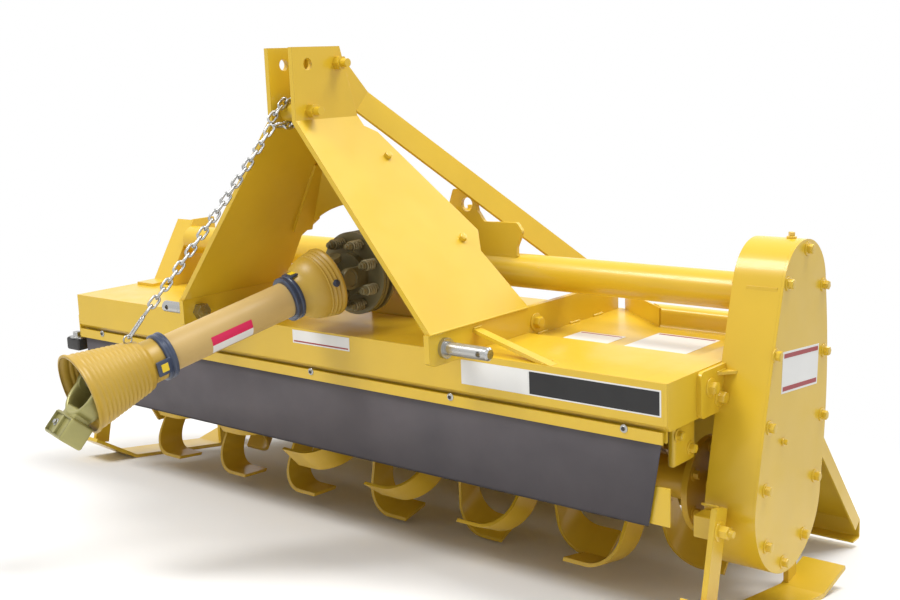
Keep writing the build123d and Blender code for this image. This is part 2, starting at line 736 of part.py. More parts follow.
# Lifting plate, standing on the drive tube beside the gearbox
lift_y = TUBE_Y - LIFT_SETBACK
with BuildPart() as lifting_plate:
    with BuildSketch(at_y(lift_y)):
        with BuildLine():
            FilletPolyline(
                (GEARBOX_WIDTH / 2, TUBE_Z + 20),
                (GEARBOX_WIDTH / 2, 262),
                (116, 306),
                (156, 306),
                (184, 284),
                (190, 256),
                (209, 231),
                (306, 233),
                (322, 213),
                (304, 175),
                (304, TUBE_Z + 20),
                radius=8,
                close=True,
            )
        make_face()
        with Locations(LIFT_EYE):
            Circle(LIFT_HOLE / 2, mode=Mode.SUBTRACT)
    extrude(amount=-LIFT_PLATE)
    with BuildSketch(at_x(GEARBOX_WIDTH / 2)):
        with Locations((TUBE_Y, TUBE_Z)):
            Circle(TUBE_DIAMETER / 2)
    extrude(amount=drive_run, mode=Mode.SUBTRACT)
keep("frame", "lifting_plate", lifting_plate.part)

# Left upright: a web that carries the support tube, with a folded front flange and foot
upright_rear = TUBE_Y + TUBE_DIAMETER / 2 + UPRIGHT_WEB + UPRIGHT_TOP_WIDTH
upright_ramp = UPRIGHT_FOOT_Y + UPRIGHT_FOOT_REACH
upright_front = upright_rear - 2 * UPRIGHT_TOP_WIDTH + UPRIGHT_WEB
with BuildPart() as left_upright:
    with BuildSketch(at_x(upright_x)):
        with BuildLine():
            Polyline(
                (upright_ramp, -DECK_DROP),
                (upright_rear, -DECK_DROP),
                (upright_rear - 14, UPRIGHT_TOP_Z),
                (upright_front - 4, UPRIGHT_TOP_Z),
                close=True,
            )
        make_face()
    extrude(amount=UPRIGHT_WEB)
    with BuildSketch(at_x(upright_x + UPRIGHT_WEB)):
        with BuildLine():
            Polyline(
                (UPRIGHT_FOOT_Y, UPRIGHT_WEB / 2),
                (upright_ramp, UPRIGHT_WEB / 2),
                (upright_front, UPRIGHT_TOP_Z - UPRIGHT_WEB / 2),
            )
        trace(line_width=UPRIGHT_WEB)
    extrude(amount=-UPRIGHT_WIDTH - UPRIGHT_WEB)
keep("frame", "left_upright", left_upright.part)

# Chain case: a deep pan round the drive and rotor centres, closed by a flat cover
case_run = Vector(ROTOR_Y - CASE_TOP_Y, ROTOR_Z - CASE_TOP_Z)
case_down = case_run.normalized()
case_lean = (CASE_BOTTOM_RADIUS - CASE_TOP_RADIUS) / case_run.length
case_flat = sqrt(1 - case_lean**2)
rear_normal = Vector(-case_down.Y, case_down.X) * case_flat - case_down * case_lean
front_normal = Vector(case_down.Y, -case_down.X) * case_flat - case_down * case_lean
case_top = Vector(CASE_TOP_Y, CASE_TOP_Z)
case_bottom = Vector(ROTOR_Y, ROTOR_Z)


rear_top = case_top + rear_normal * CASE_TOP_RADIUS
rear_bottom = case_bottom + rear_normal * CASE_BOTTOM_RADIUS
front_top = case_top + front_normal * CASE_TOP_RADIUS
front_bottom = case_bottom + front_normal * CASE_BOTTOM_RADIUS
rear_bulge = (rear_top + rear_bottom) / 2 + rear_normal * CASE_REAR_BULGE
front_bulge = (front_top + front_bottom) / 2 + front_normal * CASE_FRONT_BULGE
with BuildSketch() as case_outline:
    with BuildLine():
        ThreePointArc(front_top, case_top - case_down * CASE_TOP_RADIUS, rear_top)
        ThreePointArc(rear_top, rear_bulge, rear_bottom)
        ThreePointArc(rear_bottom, case_bottom + case_down * CASE_BOTTOM_RADIUS, front_bottom)
        ThreePointArc(front_bottom, front_bulge, front_top)
    make_face()

with BuildPart() as chain_case:
    with BuildSketch(at_x(CASE_X)):
        add(case_outline.sketch)
    extrude(amount=CASE_DEPTH)
    with BuildSketch(at_x(CASE_X + CASE_WALL)):
        add(case_outline.sketch)
        offset(amount=-CASE_WALL)
    extrude(amount=CASE_DEPTH, mode=Mode.SUBTRACT)
    with BuildSketch(at_x(CASE_X)):
        with Locations(case_bottom):
            Circle(STUB_DIAMETER / 2 + SHAFT_FIT)
    extrude(amount=CASE_WALL, mode=Mode.SUBTRACT)
keep("frame", "chain_case", chain_case.part)

with BuildPart() as chain_case_cover:
    with BuildSketch(at_x(CASE_X + CASE_DEPTH)):
        add(case_outline.sketch)
    extrude(amount=CASE_COVER)
keep("frame", "chain_case_cover", chain_case_cover.part)

# Bracket between the chain case and the front corner of the side plate
with BuildPart() as case_bracket:
    with BuildSketch(at_x(CASE_X)):
        with BuildLine():
            FilletPolyline(
                (CASE_BRACKET_FRONT, -2),
                (CASE_BRACKET_REAR + 60, -2),
                (CASE_BRACKET_REAR + 60, STRIP_TOP_Z),
                (CASE_BRACKET_FRONT, STRIP_TOP_Z),
                radius=12,
                close=True,
            )
        make_face()
    extrude(amount=CASE_BRACKET)
    # Flat gusset between the bracket and the front of the chain case
    with BuildSketch(at_z(GUSSET_Z)):
        with BuildLine():
            Polyline(
                (CASE_X + CASE_BRACKET, GUSSET_FRONT),
                (CASE_X + CASE_BRACKET + GUSSET_REACH, CASE_BRACKET_REAR),
                (CASE_X + CASE_BRACKET + GUSSET_REACH, CASE_BRACKET_REAR + 60),
                (CASE_X + CASE_BRACKET, CASE_BRACKET_REAR + 60),
                close=True,
            )
        make_face()
    extrude(amount=-GUSSET_SHEET)
    with BuildSketch(at_x(CASE_X)):
        add(case_outline.sketch)
    extrude(amount=CASE_DEPTH, mode=Mode.SUBTRACT)
keep("frame", "case_bracket", case_bracket.part)

# Rotor bearings, on the inside of the side plates
with BuildPart() as rotor_bearings:
    for plate_x, inward in ((FRAME_RIGHT - SIDE_PLATE, -1), (FRAME_LEFT + SIDE_PLATE, 1)):
        with BuildSketch(at_x(plate_x)):
            with Locations(case_bottom):
                Circle(BEARING_DIAMETER / 2)
                Circle(STUB_DIAMETER / 2 + SHAFT_FIT, mode=Mode.SUBTRACT)
        extrude(amount=inward * BEARING_DEPTH)
keep("frame", "rotor_bearings", rotor_bearings.part)

# Skid shoes, each on a front strap and a rear strap
park_cos = cos(radians(PARKED_PITCH))
park_sin = sin(radians(PARKED_PITCH))


def floor_z(y):
    return FLOOR_Z - tan(radians(PARKED_PITCH)) * y


skid_middle = Vector(SKID_MIDDLE_Y, floor_z(SKID_MIDDLE_Y))
skid_along = Vector(park_cos, -park_sin)
skid_up = Vector(park_sin, park_cos)


def skid_point(along, up):
    return skid_middle + skid_along * along + skid_up * up


skid_half = SKID_SHEET / 2
toe_end = skid_point(SKID_FRONT + SKID_TOE[0], SKID_TOE[1] + skid_half)
heel_end = skid_point(SKID_REAR + SKID_HEEL[0], SKID_HEEL[1] + skid_half)
right_edge = FRAME_RIGHT + SKID_GAP
left_edge = FRAME_LEFT - SKID_GAP
with BuildSketch() as skid_profile:
    with BuildLine():
        FilletPolyline(
            toe_end,
            skid_point(SKID_FRONT, skid_half),
            skid_point(SKID_REAR, skid_half),
            heel_end,
            radius=18,
        )
    trace(line_width=SKID_SHEET)
strap_foot = skid_point(SKID_FRONT + SKID_TOE[0] * 0.7, SKID_TOE[1] * 0.7 + SKID_SHEET)
rear_foot = skid_point(REAR_STRAP_FOOT, 0)
rear_top = Vector(*REAR_STRAP_TOP)
for side, sign, edge_x, lug_x in (("right", 1, right_edge, FRAME_RIGHT), ("left", -1, left_edge, FRAME_LEFT)):
    with BuildPart() as skid:
        with BuildSketch(at_x(edge_x)):
            add(skid_profile.sketch)
        extrude(amount=sign * SKID_WIDTH)
    keep("frame", f"skid_{side}", skid.part)

    # Front strap with its lug, and rear strap with its spacer
    with BuildPart() as straps:
        with BuildSketch(at_x(lug_x + sign * LUG_SIZE)):
            with BuildLine():
                Polyline(Vector(*STRAP_TOP), strap_foot)
            trace(line_width=STRAP_WIDTH)
        extrude(amount=sign * STRAP_THICK)
        with BuildSketch(at_x(lug_x)):
            with Locations((LUG_FRONT, STRAP_BOLT[1])):
                Rectangle(SKID_MIDDLE_Y - LUG_FRONT, LUG_SIZE, align=(Align.MIN, Align.CENTER))
        extrude(amount=sign * LUG_SIZE)
        if sign > 0:
            with BuildSketch(at_x(CASE_X)):
                add(case_outline.sketch)
            extrude(amount=CASE_DEPTH, mode=Mode.SUBTRACT)
            split(bisect_by=at_y(CASE_TOP_Y - CASE_BOTTOM_RADIUS), keep=Keep.TOP)
        with BuildSketch(at_x(lug_x + sign * STRAP_THICK)):
            with BuildLine():
                Polyline(rear_top, rear_foot)
            trace(line_width=REAR_STRAP_WIDTH)
        extrude(amount=sign * STRAP_THICK)
        with BuildSketch(at_x(lug_x)):
            with Locations((rear_top.X, rear_top.Y - REAR_BOLT_DROP)):
                Circle(REAR_SPACER / 2)
        extrude(amount=sign * STRAP_THICK)
        with BuildSketch(at_x(edge_x)):
            with BuildLine():
                Polyline(
                    skid_point(SKID_FRONT, SKID_SHEET),
                    toe_end,
                    toe_end - Vector(0, 300),
                    heel_end - Vector(0, 300),
                    heel_end,
                    skid_point(SKID_REAR, SKID_SHEET),
                    close=True,
                )
            make_face()
        extrude(amount=sign * SKID_WIDTH, mode=Mode.SUBTRACT)
        with BuildSketch(at_x(edge_x)):
            add(skid_profile.sketch)
        extrude(amount=sign * SKID_WIDTH, mode=Mode.SUBTRACT)
    keep("frame", f"skid_strap_{side}", straps.part)

# Rotor shaft, with a disc at each end, short stubs in the bearings and a flange for each ring of tines
stub_left = FRAME_LEFT + 2
stub_right = CASE_X + CASE_WALL
tube_left = FRAME_LEFT + SIDE_PLATE + BEARING_DEPTH + 20
tube_right = HUB_DISC_X
last_row = len(TINE_TURNS) - 1
flange_pitch = (FRAME_WIDTH - FLANGE_RIGHT_GAP - FLANGE_LEFT_GAP) / last_row
flange_places = [FRAME_RIGHT - FLANGE_RIGHT_GAP - flange_pitch * row for row in range(last_row + 1)]
with BuildPart() as rotor_shaft:
    with BuildSketch(at_x(stub_left)):
        with Locations(case_bottom):
            Circle(STUB_DIAMETER / 2)
    extrude(amount=stub_right - stub_left)
    with BuildSketch(at_x(tube_left)):
        with Locations(case_bottom):
            Circle(ROTOR_TUBE / 2)
    extrude(amount=tube_right - tube_left)
    for disc_x, disc_diameter, disc_thick in (
        (tube_left, HUB_DISC, HUB_DISC_THICK),
        (tube_right, HUB_DISC, HUB_DISC_THICK),
        *[(x - FLANGE_THICK / 2, FLANGE_DIAMETER, FLANGE_THICK) for x in flange_places],
    ):
        with BuildSketch(at_x(disc_x)):
            with Locations(case_bottom):
                Circle(disc_diameter / 2)
        extrude(amount=disc_thick)
    with BuildSketch(at_x(tube_left + HUB_DISC_THICK)):
        with Locations(case_bottom):
            Circle(ROTOR_TUBE / 2 - ROTOR_WALL)
    extrude(amount=tube_right - tube_left - HUB_DISC_THICK, mode=Mode.SUBTRACT)
keep("rotor", "rotor_shaft", rotor_shaft.part)

# Tines: flat bars bolted to the flanges, bent towards the next flange on a line set askew,
# so that the edge that faces forward at the bottom runs deepest
skew_sin = sin(radians(TINE_SKEW))
skew_cos = cos(radians(TINE_SKEW))
edge_reach = sqrt(ROTOR_RADIUS**2 - (TINE_WIDTH / 2) ** 2)
sole_reach = edge_reach * skew_cos - TINE_WIDTH / 2 * skew_sin - TINE_THICK / 2
with BuildPart() as right_tine:
    with BuildSketch(Plane(origin=(0, 0, 0), x_dir=(-1, 0, 0), z_dir=(0, skew_cos, skew_sin))):
        with BuildLine():
            FilletPolyline(
                (-TINE_THICK / 2, 0),
                (-TINE_THICK / 2, sole_reach),
                (-TINE_REACH, sole_reach),
                radius=TINE_BEND_RADIUS,
            )
        trace(line_width=TINE_THICK)
    extrude(amount=ROTOR_RADIUS, both=True)
    with BuildSketch(at_x(0)):
        with Locations((0, TINE_ROOT_RADIUS)):
            Rectangle(TINE_WIDTH, ROTOR_RADIUS, align=(Align.CENTER, Align.MIN))
    extrude(amount=TINE_REACH, mode=Mode.INTERSECT)

with BuildPart() as left_tine:
    mirror(right_tine.part, about=Plane.YZ)

with BuildPart() as rotor_tines:
    for row, (flange_x, row_turn) in enumerate(zip(flange_places, TINE_TURNS)):
        for number in range(TINES_PER_FLANGE):
            blade, way = ((right_tine, 1), (left_tine, -1))[number % 2]
            if row == last_row and way < 0:
                continue
            turn = row_turn + number * 360 / TINES_PER_FLANGE
            spoke = Plane(
                origin=(flange_x + way * FLANGE_THICK / 2, ROTOR_Y, ROTOR_Z),
                x_dir=(1, 0, 0),
                z_dir=(0, sin(radians(turn)), -cos(radians(turn))),
            )
            with Locations(spoke):
                add(blade.part)
keep("rotor", "rotor_tines", rotor_tines.part)

# Slip clutch on the gearbox input: plates, hub and the yoke that carries the joint
nose_y = TUBE_Y - GEARBOX_DEPTH / 2 - GEARBOX_NOSE_DEPTH
with BuildPart() as slip_clutch:
    with BuildSketch(at_y(nose_y)):
        with Locations((0, JOINT_Z)):
            Circle(34)
    extrude(amount=nose_y - CLUTCH_FRONT_Y)
    for start_y, depth, diameter in (
        (CLUTCH_BACK_Y, 8, CLUTCH_DISC),
        (CLUTCH_BACK_Y - 11, 7, CLUTCH_DISC - 22),
        (CLUTCH_BACK_Y - 21, 8, CLUTCH_DISC),
        (CLUTCH_BACK_Y - 32, 8, CLUTCH_DISC),
    ):
        with BuildSketch(at_y(start_y)):
            with Locations((0, JOINT_Z)):
                Circle(diameter / 2)
        extrude(amount=depth)
    with BuildSketch(at_y(CLUTCH_FRONT_Y)):
        with Locations((0, JOINT_Z)):
            Circle(CROSS_HALF + EAR_THICK)
    extrude(amount=CLUTCH_FRONT_Y - JOINT_Y - YOKE_REACH + 12)
    for sign in (1, -1):
        with BuildSketch(at_x(sign * CROSS_HALF)):
            with Locations((JOINT_Y, JOINT_Z)):
                Circle(EAR_RADIUS)
            with Locations((JOINT_Y, JOINT_Z - EAR_RADIUS)):
                Rectangle(YOKE_REACH, 2 * EAR_RADIUS, align=(Align.MIN, Align.MIN))
            with Locations((JOINT_Y, JOINT_Z)):
                Circle(CROSS_ARM / 2 + SHAFT_FIT, mode=Mode.SUBTRACT)
        extrude(amount=sign * EAR_THICK)
keep("frame", "slip_clutch", slip_clutch.part)

with BuildPart() as clutch_springs:
    with BuildSketch(at_y(CLUTCH_BACK_Y - 40)):
        with Locations((0, JOINT_Z)):
            with PolarLocations(SPRING_CIRCLE / 2, SPRING_COUNT, start_angle=22.5):
                Circle(SPRING_DIAMETER / 2)
    extrude(amount=SPRING_LENGTH)
keep("frame", "clutch_springs", clutch_springs.part)

# Driveline frame: s runs from the implement joint towards the tractor, v is up
yaw_cos = cos(radians(DRIVELINE_YAW))
yaw_sin = sin(radians(DRIVELINE_YAW))
pitch_cos = cos(radians(DRIVELINE_PITCH))
pitch_sin = sin(radians(DRIVELINE_PITCH))
drive_s = Vector(-yaw_sin * pitch_cos, -yaw_cos * pitch_cos, -pitch_sin)
drive_v = Vector(0, drive_s.Z, -drive_s.Y).normalized()
drive_u = drive_v.cross(drive_s)
joint_centre = Vector(0, JOINT_Y, JOINT_Z)


def drive_at(s):
    return Plane(origin=joint_centre + drive_s * s, x_dir=drive_u, z_dir=drive_s)


far_centre = joint_centre + drive_s * JOINT_SPAN

with BuildPart() as joint_cross:
    for cross_axis, cross_turn in ((Vector(1, 0, 0), drive_v), (drive_v, Vector(1, 0, 0))):
        with BuildSketch(Plane(origin=joint_centre, x_dir=cross_turn, z_dir=cross_axis)):
            Circle(CROSS_ARM / 2)
        extrude(amount=CROSS_HALF + EAR_THICK - 2, both=True)
keep("driveline", "joint_cross", joint_cross.part)

for label, base_s, way in (("inner_yoke", 0, 1), ("outer_yoke", JOINT_SPAN, -1)):
    with BuildPart() as yoke:
        for sign in (1, -1):
            ear_plane = Plane(
                origin=joint_centre + drive_s * base_s + drive_v * sign * CROSS_HALF,
                x_dir=drive_s * way,
                z_dir=drive_v,
            )
            with BuildSketch(ear_plane):
                Circle(EAR_RADIUS)
                Rectangle(YOKE_REACH, 2 * EAR_RADIUS, align=(Align.MIN, Align.CENTER))
                Circle(CROSS_ARM / 2, mode=Mode.SUBTRACT)
            extrude(amount=sign * EAR_THICK)
        with BuildSketch(drive_at(base_s + way * YOKE_REACH)):
            Circle(CROSS_HALF + EAR_THICK - 2)
        extrude(amount=way * 12)
        with BuildSketch(drive_at(base_s + way * YOKE_REACH)):
            Circle(26)
        extrude(amount=way * 96)
        with BuildSketch(drive_at(base_s + way * (YOKE_REACH + 76))):
            Circle(GUARD_BORE)
        extrude(amount=way * 20)
    keep("driveline", label, yoke.part)

# Guard tube between the two cones
with BuildPart() as guard_tube:
    with BuildSketch(drive_at(GUARD_START)):
        Circle(GUARD_DIAMETER / 2)
        Circle(GUARD_BORE, mode=Mode.SUBTRACT)
    extrude(amount=GUARD_END - GUARD_START)
keep("driveline", "guard_tube", guard_tube.part)

# Cones, each a thin shell with a stepped outline
cone_plane = Plane(origin=joint_centre, x_dir=drive_v, z_dir=drive_u)
inner_rim = INNER_CONE_RIM / 2 - CONE_SHEET / 2
neck_mid = GUARD_DIAMETER / 2 + CONE_SHEET / 2
with BuildPart() as inner_cone:
    with BuildSketch(cone_plane):
        with BuildLine():
            Polyline(
                (inner_rim, CONE_START),
                (inner_rim, CONE_START + 30),
                (inner_rim - 10, CONE_START + 34),
                (inner_rim - 14, CONE_START + 56),
                (neck_mid, CONE_START + 82),
                (neck_mid, CONE_END),
            )
        trace(line_width=CONE_SHEET)
    revolve(axis=Axis(joint_centre, drive_s))
keep("driveline", "inner_cone", inner_cone.part)

outer_rim = OUTER_CONE_RIM / 2 - CONE_SHEET / 2
cone_flare_start = OUTER_CONE_START + 40
cone_flare_end = OUTER_CONE_END - 40
with BuildPart() as outer_cone:
    with BuildSketch(cone_plane):
        with BuildLine():
            Polyline(
                (neck_mid, OUTER_CONE_START),
                (neck_mid, OUTER_CONE_START + 30),
                (OUTER_CONE_NECK / 2 + 8, cone_flare_start),
                (outer_rim, cone_flare_end),
                (outer_rim, OUTER_CONE_END),
            )
        trace(line_width=CONE_SHEET)
    revolve(axis=Axis(joint_centre, drive_s))
keep("driveline", "outer_cone", outer_cone.part)

# Guard collars, each with a lock block at its side
for label, collar_s, way in (("inner_collar", CONE_END, 1), ("outer_collar", OUTER_CONE_START, -1)):
    with BuildPart() as collar:
        with BuildSketch(drive_at(collar_s)):
            Circle(COLLAR_DIAMETER / 2)
            with Locations((-COLLAR_DIAMETER / 2 + 4, 0)):
                Rectangle(20, 34)
            Circle(GUARD_DIAMETER / 2, mode=Mode.SUBTRACT)
        extrude(amount=way * COLLAR_WIDTH)
    keep("driveline", label, collar.part)

# Coupler yoke, hanging from the tractor-side joint
hang_cos = cos(radians(COUPLER_DROOP))
hang_sin = sin(radians(COUPLER_DROOP))
hang_s = drive_s * hang_cos - drive_v * hang_sin
hang_v = drive_v * hang_cos + drive_s * hang_sin
with BuildPart() as far_cross:
    for cross_axis, cross_turn in ((drive_u, drive_v), (drive_v, drive_u)):
        with BuildSketch(Plane(origin=far_centre, x_dir=cross_turn, z_dir=cross_axis)):
            Circle(CROSS_ARM / 2)
        extrude(amount=CROSS_HALF + EAR_THICK - 2, both=True)
keep("driveline", "far_cross", far_cross.part)


def hang_at(s):
    return Plane(origin=far_centre + hang_s * s, x_dir=drive_u, z_dir=hang_s)


with BuildPart() as coupler_yoke:
    for sign in (1, -1):
        with BuildSketch(
            Plane(origin=far_centre + drive_u * sign * CROSS_HALF, x_dir=hang_s, z_dir=drive_u)
        ):
            Circle(EAR_RADIUS)
            Rectangle(YOKE_REACH, 2 * EAR_RADIUS, align=(Align.MIN, Align.CENTER))
            Circle(CROSS_ARM / 2 + SHAFT_FIT, mode=Mode.SUBTRACT)
        extrude(amount=sign * EAR_THICK)
    with BuildSketch(hang_at(YOKE_REACH)):
        Rectangle(2 * (CROSS_HALF + EAR_THICK), 2 * EAR_RADIUS)
    extrude(amount=COUPLER_HUB_START - YOKE_REACH)
    with BuildSketch(hang_at(COUPLER_HUB_START)):
        RectangleRounded(*COUPLER_HUB, COUPLER_HUB_ROUND)
    extrude(amount=COUPLER_HUB_LENGTH)
    with BuildSketch(hang_at(COUPLER_HUB_START + COUPLER_HUB_LENGTH)):
        Circle(COUPLER_BORE / 2)
    extrude(amount=-COUPLER_HUB_LENGTH - COUPLER_HUB_START + YOKE_REACH, mode=Mode.SUBTRACT)
keep("coupler", "coupler_yoke", coupler_yoke.part)

# Chain that holds up the front of the driveline, from the mast spacer to the cone
ring_share = (CHAIN_RING_S - cone_flare_start) / (cone_flare_end - cone_flare_start)
ring_radius = OUTER_CONE_NECK / 2 + 8 + (outer_rim - OUTER_CONE_NECK / 2 - 8) * ring_share + CONE_SHEET * 1.5
spacer_centre = Vector(0, PIN_Y, SPACER_Z)
chain_end = joint_centre + drive_s * CHAIN_RING_S + drive_v * ring_radius
chain_way = (chain_end - spacer_centre).normalized()
chain_side = chain_way.cross(Vector(1, 0, 0)).normalized()
chain_top = spacer_centre + chain_way * (SPACER_DIAMETER / 2 + LINK_PLAY / 2)
chain_run = chain_end - chain_top
link_count = ceil((chain_run.length - 2 * LINK_WIRE) / (LINK_LENGTH - 2 * LINK_WIRE - LINK_PLAY))
link_pitch = (chain_run.length - LINK_LENGTH) / (link_count - 1)
with BuildPart() as holding_chain:
    for number in range(link_count):
        turned = chain_side if number % 2 else Vector(1, 0, 0)
        link_middle = chain_top + chain_way * (LINK_LENGTH / 2 + number * link_pitch)
        with BuildSketch(Plane(origin=link_middle, x_dir=chain_way, z_dir=turned)):
            SlotOverall(LINK_LENGTH, LINK_WIDTH)
            SlotOverall(LINK_LENGTH - 2 * LINK_WIRE, LINK_WIDTH - 2 * LINK_WIRE, mode=Mode.SUBTRACT)
        extrude(amount=LINK_WIRE / 2, both=True)
keep("frame", "holding_chain", holding_chain.part)

# Set the machine down as it parks: nose down on its skids, middle of its footprint at the origin
everything = [part for parts in PIECES.values() for part in parts]
parked = [part.moved(Location((0, 0, 0), (PARKED_PITCH, 0, 0))) for part in everything]
box = Compound(parked).bounding_box()
middle = box.center()
park_shift = Vector(-middle.X, -middle.Y, -box.min.Z)

os.makedirs("parts", exist_ok=True)
for name, part in zip([p.label for p in everything], parked):
    placed = part.moved(Location(park_shift))
    placed.label = name
    export_step(placed, f"parts/{name}.step")

print("shift", round(park_shift.X, 2), round(park_shift.Y, 2), round(park_shift.Z, 2))
print("size", [round(v) for v in box.size])
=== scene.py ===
# %% [markdown]
# # A rotary tiller, dressed around its solids
#
# The solids of the machine come ready-made: plates, tubes, tines and driveline are already in
# their places. This lesson gives them paint, rubber, zinc and plastic, and adds what a person
# notices at arm's length: bolts, weld beads, coil springs, a real chain and the ribs of the guard
# cones. The scene is in metres, and small pieces are drawn in millimetres.

# %% Load the machine
import json
from math import cos, pi, radians, sin, sqrt, tau
from random import Random

import bmesh
import bpy
from mathutils import Matrix, Vector


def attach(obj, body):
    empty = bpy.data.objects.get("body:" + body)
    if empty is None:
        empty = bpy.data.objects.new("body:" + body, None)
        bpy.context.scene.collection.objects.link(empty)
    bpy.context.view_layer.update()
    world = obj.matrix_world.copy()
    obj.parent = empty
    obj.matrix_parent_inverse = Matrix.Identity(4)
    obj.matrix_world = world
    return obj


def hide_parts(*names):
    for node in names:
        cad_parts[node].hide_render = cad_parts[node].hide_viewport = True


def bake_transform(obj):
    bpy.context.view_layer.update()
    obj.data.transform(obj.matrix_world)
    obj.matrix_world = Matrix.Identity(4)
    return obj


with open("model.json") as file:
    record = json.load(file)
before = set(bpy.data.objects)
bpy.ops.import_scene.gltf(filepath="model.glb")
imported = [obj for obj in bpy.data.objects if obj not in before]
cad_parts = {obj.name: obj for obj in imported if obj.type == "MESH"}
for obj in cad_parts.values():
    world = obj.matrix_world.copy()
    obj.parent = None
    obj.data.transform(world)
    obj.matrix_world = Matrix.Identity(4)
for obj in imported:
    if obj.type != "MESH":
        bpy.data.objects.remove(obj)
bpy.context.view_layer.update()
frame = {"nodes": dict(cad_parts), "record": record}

nodes = frame["nodes"]

# %% [markdown]
# The machine was drawn level and then set down nose-low on its two skid shoes. Its own frame is
# easier to think in: x = 0 at the middle of the hitch, y = 0 at the front face of the rail and
# z = 0 at the rail's top, in millimetres. One matrix carries such a point to where the machine
# stands now, and the rotor's joint, whose place is known in both frames, fixes that matrix.

# %% From the machine's own frame to the floor
PARKED_PITCH = radians(8.5)
ROTOR_Y = 295
ROTOR_Z = -293
ROTOR_AXIS_MM = Vector((-54, ROTOR_Y, ROTOR_Z))

joints = {joint["name"]: joint for joint in frame["record"]["behaviour"]["joints"]}
pitch = Matrix.Rotation(PARKED_PITCH, 4, "X")
rotor_place = Vector(joints["rotor_spin"]["pos_m"])
park = Matrix.Translation(rotor_place - pitch @ (ROTOR_AXIS_MM / 1000)) @ pitch


def at(x, y, z):
    return park @ (Vector((x, y, z)) / 1000)


print("hitch middle stands at", [round(v, 3) for v in at(0, 0, 0)])

# %% [markdown]
# The camera repeats the photograph: a 50 mm lens about three metres away, a little above the
# rail, turned 40 degrees to the left and very slightly rolled. Its three directions are worked
# out from those angles and then turned with the machine.

# %% Camera
LENS_MM = 50.50
CAMERA_MM = (2067.2, -2007.3, 609.7)
CAMERA_YAW = radians(40.17)
CAMERA_DIP = radians(10.727)
CAMERA_ROLL = radians(-2.152)

ahead = Vector((-sin(CAMERA_YAW) * cos(CAMERA_DIP), cos(CAMERA_YAW) * cos(CAMERA_DIP), -sin(CAMERA_DIP)))
level = Vector((cos(CAMERA_YAW), sin(CAMERA_YAW), 0))
raised = level.cross(ahead)
screen_right = level * cos(CAMERA_ROLL) + raised * sin(CAMERA_ROLL)
screen_up = raised * cos(CAMERA_ROLL) - level * sin(CAMERA_ROLL)
turn = Matrix((screen_right, screen_up, -ahead)).transposed().to_4x4()
camera_data = bpy.data.cameras.new("camera")
camera_data.lens = LENS_MM
camera_data.clip_end = 60
camera = bpy.data.objects.new("camera", camera_data)
camera.matrix_world = Matrix.Translation(at(*CAMERA_MM)) @ (pitch @ turn)
bpy.context.collection.objects.link(camera)
bpy.context.scene.camera = camera
print("camera looks along", [round(v, 3) for v in pitch.to_3x3() @ ahead])

# %% [markdown]
# An area lamp shines from its whole face, so a broad one casts a soft shadow. Two broad discs
# carry the light: one high in front on the left for the plates that face the camera, one overhead
# for their tops. A weak one fills the side of the chain case, and one behind draws a pale edge
# along the tubes.

# %% Lamps
LAMPS = (
    # name, place, aim, size, watts, tint
    ("key", (-1.6, -3.4, 4.8), (0, 0, 0.4), 2.4, 210, (1.0, 0.985, 0.96)),
    ("top", (1.6, 0.6, 5.2), (0.2, 0.1, 0.4), 2.6, 190, (1.0, 0.99, 0.97)),
    ("side", (4.8, -1.6, 1.8), (0.2, 0.1, 0.4), 2.4, 26, (0.97, 0.985, 1.0)),
    ("back", (0.4, 4.6, 3.4), (0, 0.2, 0.5), 2.8, 70, (1.0, 1.0, 1.0)),
)
for name, place, aim, size, watts, tint in LAMPS:
    data = bpy.data.lights.new(name, "AREA")
    data.shape = "DISK"
    data.size = size
    data.energy = watts
    data.color = tint
    lamp = bpy.data.objects.new(name, data)
    lamp.location = place
    lamp.rotation_euler = (Vector(aim) - Vector(place)).to_track_quat("-Z", "Y").to_euler()
    bpy.context.collection.objects.link(lamp)
print("lamps:", len(LAMPS))

# %% [markdown]
# The world is two things at once: the white background, and a soft sky that must not drown the
# lamps. The Light Path node tells which ray asks. The camera's own rays, and those that come off
# a shiny face or through glass, see the world at full strength, and all others at half.

# %% White world
SKY_STRENGTH = 0.5
SEEN_STRENGTH = 1.0

scene = bpy.context.scene
scene.view_settings.view_transform = "Standard"
scene.render.film_transparent = False
world = bpy.data.worlds.new("studio")
world.use_nodes = True
scene.world = world
sky_nodes = world.node_tree.nodes
sky_links = world.node_tree.links
sky = sky_nodes["Background"]
sky.inputs["Color"].default_value = (1, 1, 1, 1)
seen = sky_nodes.new("ShaderNodeLightPath")
glow = sky_nodes.new("ShaderNodeMath")
glow.operation = "MAXIMUM"
through = sky_nodes.new("ShaderNodeMath")
through.operation = "MAXIMUM"
glint = sky_nodes.new("ShaderNodeMapRange")
glint.inputs["To Min"].default_value = SKY_STRENGTH
glint.inputs["To Max"].default_value = SEEN_STRENGTH
sky_links.new(seen.outputs["Is Camera Ray"], glow.inputs[0])
sky_links.new(seen.outputs["Is Transmission Ray"], glow.inputs[1])
sky_links.new(glow.outputs[0], through.inputs[0])
sky_links.new(seen.outputs["Is Glossy Ray"], through.inputs[1])
sky_links.new(through.outputs[0], glint.inputs["Value"])
sky_links.new(glint.outputs[0], sky.inputs["Strength"])
print("world strength:", SKY_STRENGTH, "to", SEEN_STRENGTH)

# %% [markdown]
# The floor is there to catch the shadow. It is a pale disc that melts into the white world: a
# Mix Shader turns it from paint to clear with the distance from the middle.

# %% Floor
FLOOR_RADIUS = 3
FADE_START = 1.0
FADE_END = 2.6
FLOOR_GREY = 0.86

